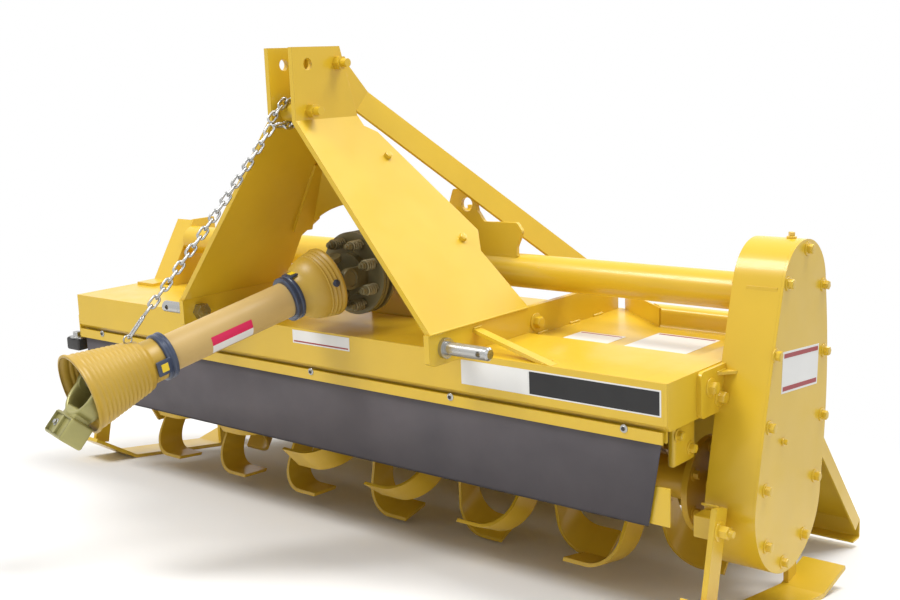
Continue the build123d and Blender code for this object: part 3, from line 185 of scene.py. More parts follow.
floor_mesh = bpy.data.meshes.new("floor")
floor_bm = bmesh.new()
bmesh.ops.create_circle(floor_bm, cap_ends=True, radius=FLOOR_RADIUS, segments=64)
floor_bm.to_mesh(floor_mesh)
floor_bm.free()
floor = bpy.data.objects.new("floor", floor_mesh)
bpy.context.collection.objects.link(floor)
floor_paint = bpy.data.materials.new("pale_floor")
floor_paint.use_nodes = True
floor_tree = floor_paint.node_tree
floor_shader = floor_tree.nodes["Principled BSDF"]
floor_shader.inputs["Base Color"].default_value = (FLOOR_GREY, FLOOR_GREY, FLOOR_GREY, 1)
floor_shader.inputs["Roughness"].default_value = 0.85
floor_shader.inputs["Specular IOR Level"].default_value = 0.1
clear = floor_tree.nodes.new("ShaderNodeBsdfTransparent")
fade = floor_tree.nodes.new("ShaderNodeMixShader")
floor_place = floor_tree.nodes.new("ShaderNodeTexCoord")
reach = floor_tree.nodes.new("ShaderNodeVectorMath")
reach.operation = "LENGTH"
falloff = floor_tree.nodes.new("ShaderNodeMapRange")
falloff.interpolation_type = "SMOOTHSTEP"
falloff.inputs["From Min"].default_value = FADE_START
falloff.inputs["From Max"].default_value = FADE_END
floor_tree.links.new(floor_place.outputs["Object"], reach.inputs[0])
floor_tree.links.new(reach.outputs["Value"], falloff.inputs["Value"])
floor_tree.links.new(falloff.outputs[0], fade.inputs["Fac"])
floor_tree.links.new(floor_shader.outputs[0], fade.inputs[1])
floor_tree.links.new(clear.outputs[0], fade.inputs[2])
floor_tree.links.new(fade.outputs[0], floor_tree.nodes["Material Output"].inputs["Surface"])
floor_mesh.materials.append(floor_paint)
print("floor fades from", FADE_START, "to", FADE_END, "m")

# %% [markdown]
# Sprayed enamel is never one flat colour. It is a little cloudy on wide plates, carries a fine
# ripple, and is rubbed thin on edges that meet the soil. One function mixes these from noise in
# Object coordinates, so that the pattern stays on the steel from every side. The Bevel node
# rounds the light on sharp plate edges by about a millimetre, as thick paint does, and where its
# normal leaves the face's own the edge counts as worn.

# %% A paint with clouds, ripple, softened and worn edges
CLOUDS = (5, 4)
SHEEN = (14, 5)
RUBS = (38, 5)
MIX_FIRST = 6
MIX_SECOND = 7
MIX_RESULT = 2


def paint(name, tones, roughness, ripple, edge_mm=1.2, metallic=0.0, coat=0.0, worn=None):
    material = bpy.data.materials.new(name)
    material.use_nodes = True
    tree = material.node_tree
    shader = tree.nodes["Principled BSDF"]
    shader.inputs["Metallic"].default_value = metallic
    shader.inputs["Coat Weight"].default_value = coat
    shader.inputs["Coat Roughness"].default_value = 0.12

    def node(kind, **settings):
        made = tree.nodes.new(kind)
        for key, value in settings.items():
            setattr(made, key, value)
        return made

    def noise(scale, detail):
        made = node("ShaderNodeTexNoise")
        made.inputs["Scale"].default_value = scale
        made.inputs["Detail"].default_value = detail
        tree.links.new(place.outputs["Object"], made.inputs["Vector"])
        return made.outputs["Fac"]

    def spread(value, low, high, to_low, to_high):
        made = node("ShaderNodeMapRange")
        for key, number in zip(("From Min", "From Max", "To Min", "To Max"), (low, high, to_low, to_high)):
            made.inputs[key].default_value = number
        tree.links.new(value, made.inputs["Value"])
        return made.outputs[0]

    def mix(factor, first, second):
        made = node("ShaderNodeMix", data_type="RGBA")
        tree.links.new(factor, made.inputs["Factor"])
        for key, colour in ((MIX_FIRST, first), (MIX_SECOND, second)):
            if isinstance(colour, tuple):
                made.inputs[key].default_value = (*colour, 1)
            else:
                tree.links.new(colour, made.inputs[key])
        return made.outputs[MIX_RESULT]

    place = node("ShaderNodeTexCoord")
    colour = mix(spread(noise(*CLOUDS), 0.35, 0.65, 0, 1), *tones)
    rounded = node("ShaderNodeBevel", samples=4)
    rounded.inputs["Radius"].default_value = edge_mm / 1000
    if worn:
        faces = node("ShaderNodeNewGeometry")
        bend = node("ShaderNodeVectorMath", operation="DOT_PRODUCT")
        tree.links.new(rounded.outputs[0], bend.inputs[0])
        tree.links.new(faces.outputs["True Normal"], bend.inputs[1])
        rub = node("ShaderNodeMath", operation="MULTIPLY")
        tree.links.new(spread(bend.outputs["Value"], 0.97, 0.86, 0, 1), rub.inputs[0])
        tree.links.new(spread(noise(*RUBS), 0.5, 0.62, 0, 0.75), rub.inputs[1])
        colour = mix(rub.outputs[0], colour, worn)
    tree.links.new(colour, shader.inputs["Base Color"])
    tree.links.new(spread(noise(*SHEEN), 0.3, 0.7, *roughness), shader.inputs["Roughness"])
    bump = node("ShaderNodeBump")
    bump.inputs["Strength"].default_value = ripple[1]
    bump.inputs["Distance"].default_value = 0.001
    tree.links.new(noise(ripple[0], 2), bump.inputs["Height"])
    tree.links.new(rounded.outputs[0], bump.inputs["Normal"])
    tree.links.new(bump.outputs[0], shader.inputs["Normal"])
    return material


print("noise scales and details:", CLOUDS, SHEEN, RUBS)

# %% [markdown]
# Each finish is a pair of close tones, a range of roughness, and a ripple given as scale and
# strength. A coarse, weak ripple reads as sprayed enamel, and a finer, stronger one as cast or
# forged steel. Zinc is the only true metal here, since the clutch and the yoke are painted over.

# %% Finishes of this machine
YELLOW = ((0.70, 0.462, 0.024), (0.655, 0.43, 0.02))
enamel = paint("yellow_enamel", YELLOW, (0.28, 0.40), (90, 0.035), coat=0.25)
tine_enamel = paint(
    "tine_enamel", ((0.70, 0.45, 0.026), (0.61, 0.38, 0.022)), (0.3, 0.5), (110, 0.08),
    coat=0.2, worn=(0.5, 0.3, 0.04),
)
zinc = paint(
    "zinc_plate", ((0.50, 0.50, 0.485), (0.36, 0.36, 0.35)), (0.2, 0.36), (300, 0.06),
    edge_mm=0.6, metallic=1.0,
)
rubber = paint(
    "flap_rubber", ((0.105, 0.092, 0.10), (0.085, 0.076, 0.084)), (0.55, 0.75), (260, 0.12),
    edge_mm=1.5,
)
# black: real rubber for the end buffer, and painted shade for the holes of the strip screws' sockets
black_rubber = paint(
    "black_rubber", ((0.02, 0.02, 0.02), (0.03, 0.028, 0.027)), (0.4, 0.6), (600, 0.2),
)
tube_plastic = paint(
    "guard_tube_plastic", ((0.58, 0.40, 0.15), (0.53, 0.36, 0.12)), (0.38, 0.52), (160, 0.08),
)
cone_plastic = paint(
    "guard_cone_plastic", ((0.53, 0.345, 0.045), (0.46, 0.29, 0.035)), (0.36, 0.52), (220, 0.12),
)
collar_plastic = paint(
    "collar_plastic", ((0.022, 0.038, 0.082), (0.03, 0.045, 0.09)), (0.25, 0.4), (300, 0.1),
    coat=0.2,
)
clutch_steel = paint(
    "clutch_steel", ((0.27, 0.235, 0.12), (0.17, 0.148, 0.074)), (0.36, 0.6), (180, 0.3),
    metallic=0.25,
)
yoke_steel = paint(
    "yoke_steel", ((0.40, 0.37, 0.13), (0.30, 0.28, 0.10)), (0.3, 0.5), (200, 0.22),
    metallic=0.35, coat=0.2,
)
print("paints:", len(bpy.data.materials))

# %% [markdown]
# Each solid already names a material slot in the machine's record, so one table from slot to
# paint dresses them all. Three nodes of plain steel are painted over with the frame.

# %% Dress the solids
SLOT_PAINTS = {
    "yellow_paint": enamel,
    "tine_paint": tine_enamel,
    "zinc": zinc,
    "rubber_flap": rubber,
    "guard_plastic": tube_plastic,
    "cone_plastic": cone_plastic,
    "collar_plastic": collar_plastic,
    "dark_steel": clutch_steel,
    "yoke_paint": yoke_steel,
}
YELLOW_TOO = ("mast_bolt", "mast_spacer", "hinge_rod")
slot_of = {part["node"]: part["material_slot"] for part in frame["record"]["subparts"]}
for name, solid in nodes.items():
    coat_of_paint = enamel if name in YELLOW_TOO else SLOT_PAINTS[slot_of[name]]
    for material_slot in solid.material_slots:
        material_slot.material = coat_of_paint
print("dressed solids:", len(nodes))

# %% [markdown]
# The small pieces share a handful of tools. `spot` turns a place and a facing, in the machine's
# millimetres, into the matrix that stands a shape there with its own z axis along the facing.
# `master` keeps a finished shape as a mesh, and `stamp` copies it to one place or to many. `make`
# closes a bmesh into an object that rides on a body of the machine.

# %% Places, masters and finished pieces
RIGHT = (1, 0, 0)
FORWARD = (0, -1, 0)
REAR = (0, 1, 0)
UP = (0, 0, 1)
NEARLY_ALONG = 0.05
to_frame = park @ Matrix.Scale(0.001, 4)


def spot(place, facing, top=UP):
    out = Vector(facing).normalized()
    side = Vector(top).cross(out)
    if side.length < NEARLY_ALONG:
        side = Vector(REAR).cross(out)
    side.normalize()
    turned = Matrix((side, out.cross(side), out)).transposed().to_4x4()
    return to_frame @ Matrix.Translation(Vector(place)) @ turned


def master(name, bm):
    mesh = bpy.data.meshes.new(name)
    bmesh.ops.recalc_face_normals(bm, faces=bm.faces)
    bm.to_mesh(mesh)
    bm.free()
    return mesh


def stamp(bm, shape, places):
    for place in places:
        copy = shape.copy()
        copy.transform(place)
        bm.from_mesh(copy)
        bpy.data.meshes.remove(copy)


def make(name, bm, material, body, sharp=32, where=None):
    bmesh.ops.remove_doubles(bm, verts=bm.verts, dist=1e-7)
    bmesh.ops.recalc_face_normals(bm, faces=bm.faces)
    if where is not None:
        bm.transform(where)
    mesh = bpy.data.meshes.new(name)
    bm.to_mesh(mesh)
    bm.free()
    mesh.materials.append(material)
    mesh.shade_smooth()
    mesh.set_sharp_from_angle(angle=radians(sharp))
    piece = bpy.data.objects.new(name, mesh)
    bpy.context.collection.objects.link(piece)
    if body:
        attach(piece, body)
    return piece


def triangles(mesh):
    return sum(len(f.vertices) - 2 for f in mesh.polygons)


print("a millimetre is", round(to_frame.median_scale, 4), "m")

# %% [markdown]
# Nearly every small piece starts as a prism, a block or a profile turned on a lathe. Prisms and
# blocks get their edges rounded with a bevel, because real edges always catch a line of light. A
# turned shape is a line of points spun a full turn, with its seam and its poles merged shut. `once`
# leaves out repeats and keeps the rest in the order in which they were found.

# %% Prisms, blocks and turned shapes
def once(items):
    return list(dict.fromkeys(items))


def soften(bm, edges, offset, segments):
    bmesh.ops.bevel(
        bm, geom=once(edges), offset=offset, offset_type="OFFSET", segments=segments,
        affect="EDGES", profile=0.5, material=-1,
    )


def prism(bm, sides, radius, low, high, rounding=0, segments=2):
    shape = bmesh.ops.create_cone(
        bm, cap_ends=True, segments=sides, radius1=radius, radius2=radius, depth=high - low,
        matrix=Matrix.Translation((0, 0, (low + high) / 2)),
    )
    if rounding:
        top = [v for v in shape["verts"] if v.co.z > (low + high) / 2]
        rim = [e for v in top for e in v.link_edges if e.other_vert(v) in top]
        soften(bm, rim, rounding, segments)


def block(bm, size, centre, rounding=0, segments=2):
    place = Matrix.Translation(centre) @ Matrix.Diagonal((*size, 1))
    shape = bmesh.ops.create_cube(bm, size=1, matrix=place)
    if rounding:
        soften(bm, [e for v in shape["verts"] for e in v.link_edges], rounding, segments)


def spin_round(bm, steps):
    bmesh.ops.spin(
        bm, geom=bm.verts[:] + bm.edges[:], cent=(0, 0, 0), axis=(0, 0, 1), angle=tau, steps=steps,
        use_merge=True,
    )


def lathe(bm, profile, steps):
    points = [bm.verts.new((radius, 0, s)) for s, radius in profile]
    for pair in zip(points, points[1:]):
        bm.edges.new(pair)
    spin_round(bm, steps)
    bmesh.ops.remove_doubles(bm, verts=bm.verts, dist=1e-3)


def wire_section(bm, wire, distance, segments):
    upright = Matrix.Translation((distance, 0, 0)) @ Matrix.Rotation(pi / 2, 4, "X")
    bmesh.ops.create_circle(bm, cap_ends=False, radius=wire, segments=segments, matrix=upright)


print("shape tools:", prism.__name__, block.__name__, lathe.__name__)

# %% [markdown]
# A hex bolt is a washer, a head with a chamfered crown and, where it comes through, a nut with the
# end of its thread. The masters are one millimetre across, so that one table of places with a
# size in it serves bolts of every size.

# %% Bolt masters
HEX = 1 / (2 * cos(pi / 6))
WASHER = (28, 0.86, 0, 0.12, 0.03)
HEAD_TOP = 0.74
NUT_TOP = 0.88
THREAD_STEP = 0.07

bm = bmesh.new()
prism(bm, *WASHER)
prism(bm, 6, HEX, 0.12, HEAD_TOP, 0.07)
prism(bm, 20, 0.40, HEAD_TOP, 0.76)
BOLT = master("bolt_master", bm)
bm = bmesh.new()
prism(bm, *WASHER)
prism(bm, 6, HEX, 0.12, NUT_TOP, 0.07)
for ring in range(6):
    low = NUT_TOP + ring * THREAD_STEP
    prism(bm, 18, 0.315, low, low + THREAD_STEP, 0.025, 1)
NUT = master("nut_master", bm)
bm = bmesh.new()
prism(bm, 28, 0.5, 0, 0.10, 0.06)
prism(bm, 28, 0.30, 0.10, 0.20, 0.05)
SCREW = master("screw_master", bm)
print("bolt triangles:", triangles(BOLT))

# %% [markdown]
# One table holds the bolts: which body they ride on, which paint they wear, where they stand,
# which way they face and their size across the flats. These are the bolts of the frame. The chain
# case cover carries twelve around its edge, as the photograph shows.

# %% Bolts of the frame
SIDE_X = 896
LEFT_EDGE = -1004
COVER_X = 1006
HITCH_X = 403.5
MAST_BEND_Z = 492
MAST_OUTER_X = 44
MAST_MIDDLE_X = 38
MAST_HALF = 6
BAR_TOP_Z = 58
SEAT = 1.8
FLARE_TAN = (HITCH_X - MAST_OUTER_X) / (MAST_BEND_Z - BAR_TOP_Z)
FLARE_COS = 1 / sqrt(1 + FLARE_TAN**2)
TUBE_Y = 352
TUBE_Z = 117
GEARBOX_TOP = 243
COVER_BOLTS = (
    # y, z
    (366, 214), (279, 156), (444, 128), (226, 22), (453, -13), (203, -118),
    (188, -243), (194, -361), (270, -419), (364, -388), (417, -276), (447, -150),
)


def flare_x(z):
    return MAST_MIDDLE_X + MAST_HALF / FLARE_COS - MAST_HALF + (MAST_BEND_Z - z) * FLARE_TAN + SEAT


def around_x(x, y, z, radius, turned):
    return (x, y + radius * sin(turned), z + radius * cos(turned))


rows = []
for y, z in COVER_BOLTS:
    rows.append(("frame", enamel, BOLT, (COVER_X, y, z), RIGHT, 17))
for sign in (1, -1):
    rows.append(("frame", enamel, BOLT, (sign * HITCH_X, 262, 20), (sign, 0, 0), 24))
    rows.append(("frame", zinc, NUT, (sign * (HITCH_X - 14), 262, 20), (-sign, 0, 0), 24))
    for y, z in ((99, 401), (166, 214)):
        facing = (sign * FLARE_COS, 0, FLARE_COS * FLARE_TAN)
        rows.append(("frame", enamel, BOLT, (sign * flare_x(z), y, z), facing, 17))
for y, z in ((150, -38), (186, -66)):
    rows.append(("frame", enamel, BOLT, (SIDE_X + 10, y, z), RIGHT, 22))
for y, z in ((76, -122), (124, -160)):
    rows.append(("frame", enamel, BOLT, (876, y, z), RIGHT, 17))
for sign, edge in ((1, SIDE_X), (-1, LEFT_EDGE)):
    rows.append(("frame", enamel, NUT, (edge + sign * 56, 101, -311), (sign, 0, 0), 24))
    rows.append(("frame", enamel, BOLT, (edge + sign * 24, 500, -256), (sign, 0, 0), 22))
    for number in range(4):
        place = around_x(edge - sign * 30, ROTOR_Y, ROTOR_Z, 58, radians(45 + 90 * number))
        rows.append(("frame", enamel, BOLT, place, (-sign, 0, 0), 15))
for number in range(6):
    place = around_x(884, TUBE_Y, TUBE_Z, 51, radians(60 * number))
    rows.append(("frame", enamel, BOLT, place, (-1, 0, 0), 15))
for x, y in ((-78, 262), (0, 262), (78, 262), (-78, 442), (0, 442), (78, 442), (-78, 352), (78, 352)):
    rows.append(("frame", enamel, BOLT, (x, y, GEARBOX_TOP), UP, 14))
print("bolts of the frame:", len(rows))

# %% [markdown]
# Every tine is held by two bolts, and the same plain head stands for each nut on the other face of
# the flange. A flange takes six tines, alternately on its two faces, but the last one at the left
# end only three. The turn of each flange against the next spreads the cuts around the shaft.

# %% Bolts of the rotor
TINE_TURNS = (26, 12, 0, -11, -26, -27, -30)
TINES_ROUND = 6
LAST_ROW = len(TINE_TURNS) - 1
FLANGE_RIGHT = 690
FLANGE_PITCH = (1900 - 206 - 86) / LAST_ROW
TINE_BOLT_RADII = (63, 86)

for number in range(6):
    place = around_x(830, ROTOR_Y, ROTOR_Z, 84, radians(60 * number))
    rows.append(("rotor", tine_enamel, BOLT, place, RIGHT, 17))
for row, row_turn in enumerate(TINE_TURNS):
    x = FLANGE_RIGHT - FLANGE_PITCH * row
    for number in range(TINES_ROUND):
        way = -1 if number % 2 else 1
        if row == LAST_ROW and way < 0:
            continue
        turned = radians(row_turn + number * 360 / TINES_ROUND)
        for radius in TINE_BOLT_RADII:
            y = ROTOR_Y + radius * sin(turned)
            z = ROTOR_Z - radius * cos(turned)
            rows.append(("rotor", tine_enamel, BOLT, (x + way * 13, y, z), (way, 0, 0), 13))
            rows.append(("rotor", tine_enamel, BOLT, (x - way * 5, y, z), (-way, 0, 0), 13))
print("bolts with the rotor's:", len(rows))

# %% [markdown]
# Bolts of one paint on one body become one piece. A fitter never lines up the flats of the heads,
# so each bolt is turned by its own chance amount, seeded by its place.

# %% All bolts, gathered by body and paint
groups = {}
for body, look, shape, place, facing, across in rows:
    groups.setdefault((body, look.name), (look, []))[1].append((shape, place, facing, across))
for (body, look_name), (look, members) in groups.items():
    bm = bmesh.new()
    for shape, place, facing, across in members:
        spun = Matrix.Rotation(Random(str(place)).uniform(0, pi / 3), 4, "Z")
        stamp(bm, shape, [spot(place, facing) @ Matrix.Scale(across, 4) @ spun])
    make(f"bolts_on_{body}", bm, look, body)
print("groups of bolts:", len(groups))

# %% [markdown]
# The strip that clamps the flap is held by pan-head screws with a bright washer and a socket.
# The socket's hole is painted shade: a small black plug set into the head stands for the shadow
# inside it, and reads as a hole at this size.

# %% Strip screws
SCREW_XS = (-893, -480, -62, 367, 803)
SCREW_Y = -4
SCREW_Z = -100
SCREW_SIZE = 17

screw_places = [spot((x, SCREW_Y, SCREW_Z), FORWARD) for x in SCREW_XS]
bm = bmesh.new()
stamp(bm, SCREW, [place @ Matrix.Scale(SCREW_SIZE, 4) for place in screw_places])
make("strip_screw_washers", bm, zinc, "frame")
# painted shade: this black plug stands for the shadow inside each screw's socket hole
socket_shade_plug = bmesh.new()
prism(socket_shade_plug, 20, 4.3, 1.2, 3.9)
bm = bmesh.new()
stamp(bm, master("screw_socket", socket_shade_plug), screw_places)
make("strip_screw_sockets", bm, black_rubber, "frame")
print("strip screws:", len(SCREW_XS))

# %% [markdown]
# A black rubber buffer with a zinc screw sits at the left end on a short strap, a plate steadies
# each end of the flap, and a bolted block sits under the deck's right edge. They are plain blocks
# with eased edges, placed by their middles.

# %% End buffer, straps and end plates
bm = bmesh.new()
block(bm, (58, 34, 36), (0, 0, 0), 6, 3)
make("end_buffer", bm, black_rubber, "frame", where=spot((-1031, 4, -144), UP))
washer_plate = bmesh.new()
block(washer_plate, (56, 26, 4), (0, 0, 0), 1.2)
bm = bmesh.new()
stamp(bm, BOLT, [spot((-1026, 2, -126), UP) @ Matrix.Scale(22, 4)])
stamp(bm, master("buffer_plate", washer_plate), [spot((-1022, 4, -125), UP)])
make("end_buffer_screw", bm, zinc, "frame")
STEEL_BLOCKS = (
    # name, size, middle, rounding, segments
    ("end_buffer_strap", (5, 28, 70), (-1006.4, 15, -94), 1, 2),
    ("flap_end_plate_right", (72, 5, 78), (858, 14, -249), 1, 2),
    ("flap_end_plate_left", (72, 5, 78), (-966, 14, -249), 1, 2),
    ("seal_block", (16, 84, 92), (868, 102, -140), 6, 3),
)
for name, size, middle, rounding, segments in STEEL_BLOCKS:
    bm = bmesh.new()
    block(bm, size, (0, 0, 0), rounding, segments)
    make(name, bm, enamel, "frame", where=to_frame @ Matrix.Translation(middle))
print("steel blocks:", len(STEEL_BLOCKS))

# %% [markdown]
# The flap itself is a thick rubber sheet, cut slanting at its right end as in the photograph, that
# leans a little back towards the tines at its foot. A grid of one face is pulled to its outline
# and solidified.

# %% Rubber flap
FLAP_LEFT = -984
FLAP_RIGHT = 884
FLAP_TOP = -102
FLAP_FOOT = -288
FLAP_THICK = 5
END_SLANT = 34
FOOT_LEAN = 3

bm = bmesh.new()
bmesh.ops.create_grid(bm, x_segments=1, y_segments=1, size=0.5)
for v in bm.verts:
    down = 0.5 - v.co.y
    right_end = FLAP_RIGHT - END_SLANT * down
    x = right_end if v.co.x > 0 else FLAP_LEFT
    v.co = (x, 4 + FOOT_LEAN * down, FLAP_TOP + (FLAP_FOOT - FLAP_TOP) * down)
bmesh.ops.solidify(bm, geom=bm.faces[:], thickness=FLAP_THICK)
flap = make("rubber_flap_sheet", bm, rubber, "frame", where=to_frame)
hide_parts("rubber_flap")
print("flap is", FLAP_RIGHT - FLAP_LEFT, "mm wide and", FLAP_TOP - FLAP_FOOT, "mm high")

# %% [markdown]
# The gearbox gets its bolted top cover. Oil goes in and out through square-headed plugs: one on
# that cover, one on top of the chain case and a small one in its side.

# %% Gearbox cover and plugs
PLUGS = (
    # place, facing, size
    ((34, 400, GEARBOX_TOP), UP, 26),
    ((974, 360, 234), UP, 17),
    ((COVER_X, 264, -162), RIGHT, 13),
)
bm = bmesh.new()
block(bm, (186, 216, 8), (0, TUBE_Y, GEARBOX_TOP - 4), 2)
make("gearbox_cover", bm, enamel, "frame", where=to_frame)
plug = bmesh.new()
prism(plug, 28, 0.6, 0, 0.25, 0.05)
prism(plug, 4, 0.42, 0.25, 0.75, 0.08)
PLUG = master("plug", plug)
bm = bmesh.new()
for place, facing, size in PLUGS:
    stamp(bm, PLUG, [spot(place, facing) @ Matrix.Scale(size, 4)])
make("oil_plugs", bm, enamel, "frame")
print("plugs:", len(PLUGS))

# %% [markdown]
# Weld beads hold a fabricated machine together, and they show. A bead is a row of flattened
# drops, each a little different in size, laid along a line. There are hundreds of drops, so one
# drop is a coarse sphere of a few dozen faces.

# %% Weld beads on the frame
DROP_SPACING = 0.75
DROP_FLATNESS = 0.8
SEAMS = (
    # start, end, bead half width in millimetres
    ((404, 268, -9), (404, 306, -9), 4.5),
    ((404, 400, -9), (404, 436, -9), 4.5),
    ((404, 500, -9), (404, 534, -9), 4.5),
    ((-404, 268, -9), (-404, 306, -9), 4.5),
    ((-404, 400, -9), (-404, 436, -9), 4.5),
    ((404, 2, 1), (404, 60, 1), 4),
    ((-404, 2, 1), (-404, 60, 1), 4),
    ((404, -104, 58), (404, 230, 58), 3.2),
    ((-404, -104, 58), (-404, 230, 58), 3.2),
    ((405, 38, 47), (405, 61, 47), 3),
    ((-405, 38, 47), (-405, 61, 47), 3),
    ((607, 4, 1), (607, 36, 1), 3.4),
    ((-607, 4, 1), (-607, 36, 1), 3.4),
    ((104, 333, 155), (304, 333, 155), 3.6),
    ((-918, 258, -9), (-918, 440, -9), 3.6),
    ((906, 178, -14), (906, 240, -14), 3),
    ((908, 240, -14), (955, 240, -14), 3),
    ((906, 116, -268), (940, 116, -268), 3),
)
bm = bmesh.new()
bmesh.ops.create_uvsphere(bm, u_segments=8, v_segments=4, radius=1)
DROP = master("weld_drop", bm)
bm = bmesh.new()
for start, end, half in SEAMS:
    run = Vector(end) - Vector(start)
    drops = max(3, int(run.length / (half * DROP_SPACING)))
    shake = Random(f"{start}")
    for number in range(drops + 1):
        place = Vector(start) + run * number / drops
        size = half * shake.uniform(0.86, 1.12)
        lean = Matrix.Diagonal((size, size, size * DROP_FLATNESS, 1))
        stamp(bm, DROP, [spot(place, run, (1, 1, 1)) @ lean])
make("weld_beads", bm, enamel, "frame", sharp=80)
print("seams:", len(SEAMS))

# %% [markdown]
# Each flange is welded to the rotor's tube by a bead on both faces.

# %% Weld beads on the rotor
DROPS_ROUND = 44

bm = bmesh.new()
for row in range(LAST_ROW + 1):
    x = FLANGE_RIGHT - FLANGE_PITCH * row
    for way in (1, -1):
        for number in range(DROPS_ROUND):
            turned = tau * number / DROPS_ROUND
            place = around_x(x + way * 5, ROTOR_Y, ROTOR_Z, 45, turned)
            along_bead = (0, cos(turned), -sin(turned))
            stamp(bm, DROP, [spot(place, along_bead, RIGHT) @ Matrix.Scale(3.4, 4)])
make("flange_welds", bm, tine_enamel, "rotor", sharp=80)
print("flanges welded:", LAST_ROW + 1)

# %% [markdown]
# Labels are blank here: only their panels, borders and colour bands are laid on. A flat label is a
# thin plate, sunk a little into the steel, and a band or a panel is a second one on top of it.

# %% Blank labels and colour bands
SUNK = 0.6


def flat(name, tint, roughness=0.35):
    tones = (tint, tuple(0.93 * c for c in tint))
    return paint(name, tones, (roughness, roughness + 0.12), (300, 0.04), edge_mm=0.3)


white_vinyl = flat("white_vinyl", (0.80, 0.80, 0.78))
black_vinyl = flat("black_vinyl", (0.008, 0.008, 0.009), 0.5)
red_vinyl = flat("red_vinyl", (0.34, 0.03, 0.035))
pink_vinyl = flat("pink_vinyl", (0.72, 0.012, 0.10))
yellow_vinyl = flat("yellow_vinyl", (0.86, 0.62, 0.02))

LABELS = (
    # name, middle, facing, top, width, height, thickness, colour, turned in degrees
    ("rail_label_border", (640, 0, -40.5), FORWARD, UP, 487, 53, 0.5, white_vinyl, 0),
    ("rail_label_dark_panel", (728, -0.5, -40.5), FORWARD, UP, 304, 47, 0.5, black_vinyl, 0),
    ("rail_label_pale_panel", (487, -0.5, -40.5), FORWARD, UP, 172, 47, 0.5, white_vinyl, 0),
    ("left_label", (-28, 0, -21), FORWARD, UP, 188, 32, 0.6, white_vinyl, 0),
    ("left_label_line", (-28, -0.6, -32), FORWARD, UP, 180, 3.4, 0.4, red_vinyl, 0),
    ("deck_label_one", (533, 301, -10), UP, REAR, 118, 86, 0.6, white_vinyl, 0),
    ("deck_label_one_line", (533, 335, -9.4), UP, REAR, 108, 5, 0.4, red_vinyl, 0),
    ("deck_label_two", (710, 338, -10), UP, REAR, 152, 156, 0.6, white_vinyl, 0),
    ("deck_label_two_line", (710, 406, -9.4), UP, REAR, 140, 6, 0.4, red_vinyl, 0),
    ("cover_label", (1006, 339, -27), RIGHT, UP, 168, 84, 0.6, white_vinyl, -5),
    ("cover_label_top_band", (1006.6, 342, 6), RIGHT, UP, 158, 9, 0.4, red_vinyl, -5),
    ("cover_label_foot_band", (1006.6, 336, -60), RIGHT, UP, 158, 9, 0.4, red_vinyl, -5),
    ("band_plate", (960, 257.4, 134), FORWARD, UP, 66, 32, 1.6, enamel, 0),
)
for name, place, facing, top, width, height, thick, look, turned in LABELS:
    bm = bmesh.new()
    block(bm, (width, height, thick + SUNK), (0, 0, (thick - SUNK) / 2), 0.2, 1)
    make(name, bm, look, "frame", where=spot(place, facing, top) @ Matrix.Rotation(radians(turned), 4, "Z"))
print("labels:", len(LABELS))

# %% [markdown]
# The driveline hangs at its own angle, so its pieces are drawn along their own z axis, from the
# clutch's joint to the far one, and one matrix lays them in place. Its y axis looks up. The
# coupler droops from the far joint and has a second matrix.

# %% The driveline's own frame
DRIVELINE_YAW = radians(12)
DRIVELINE_PITCH = radians(14)
COUPLER_DROOP = radians(36)
JOINT_SPAN = 612

drive_s = Vector((
    -sin(DRIVELINE_YAW) * cos(DRIVELINE_PITCH),
    -cos(DRIVELINE_YAW) * cos(DRIVELINE_PITCH),
    -sin(DRIVELINE_PITCH),
))
drive_v = Vector((0, drive_s.z, -drive_s.y)).normalized()
joint_middle = Vector((0, 32, 126))
along_drive = spot(joint_middle, drive_s, drive_v)
hang_s = drive_s * cos(COUPLER_DROOP) - drive_v * sin(COUPLER_DROOP)
hang_v = drive_v * cos(COUPLER_DROOP) + drive_s * sin(COUPLER_DROOP)
far_joint = joint_middle + drive_s * JOINT_SPAN
along_coupler = spot(far_joint, hang_s, hang_v)
print("far joint at", [round(c) for c in far_joint])

# %% [markdown]
# The guard cones are blown plastic: thin walls, rolled rims and shallow rings. Each is one closed
# profile turned about the driveline, out along the outside and back along the inside, and it takes
# the place of the plain cone of the solids. The inside keeps clear of the guard tube.

# %% Ribbed guard cones
TUBE_CLEAR = 41.5
RING_DEPTH = 2.2
RING_HALF = 2.6
OUTER_RINGS = 12
OUTER_RING_PITCH = 10.4


def wall(outer, thickness):
    inner = [(s, max(radius - thickness, TUBE_CLEAR)) for s, radius in reversed(outer)]
    return outer + inner + outer[:1]


inner_shape = [
    (24, 77.5), (26, 81), (31, 82), (34, 80), (36, 78.5), (70, 73.5), (80, 70.5), (90, 65.5),
    (99, 57.5), (106, 49.5), (118, 46.5),
]
for s, radius in ((41, 77.5), (50, 76), (60, 74)):
    inner_shape += [
        (s - RING_HALF, radius), (s - RING_HALF * 0.5, radius + RING_DEPTH),
        (s + RING_HALF * 0.5, radius + RING_DEPTH), (s + RING_HALF, radius),
    ]
bm = bmesh.new()
lathe(bm, wall(sorted(inner_shape), 3.2), 80)
inner_cone = make("inner_cone_ribbed", bm, cone_plastic, "driveline", sharp=50, where=along_drive)
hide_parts("inner_cone")

outer_shape = [(470, 46.5), (496, 47), (501, 50), (505, 55), (508, 56)]
for ring in range(OUTER_RINGS):
    s = 518 + ring * OUTER_RING_PITCH
    radius = 57 + (s - 512) * 0.2005
    outer_shape += [
        (s - 2.4, radius - 0.5), (s - 1.0, radius + 1.1), (s + 1.0, radius + 1.5), (s + 2.4, radius + 0.5),
    ]
outer_shape += [(646, 84), (649, 87.4), (653, 87.6), (654, 85)]
bm = bmesh.new()
lathe(bm, wall(outer_shape, 3.0), 88)
outer_cone = make("outer_cone_ribbed", bm, cone_plastic, "driveline", sharp=50, where=along_drive)
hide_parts("outer_cone")
print("cone triangles:", triangles(inner_cone.data), triangles(outer_cone.data))

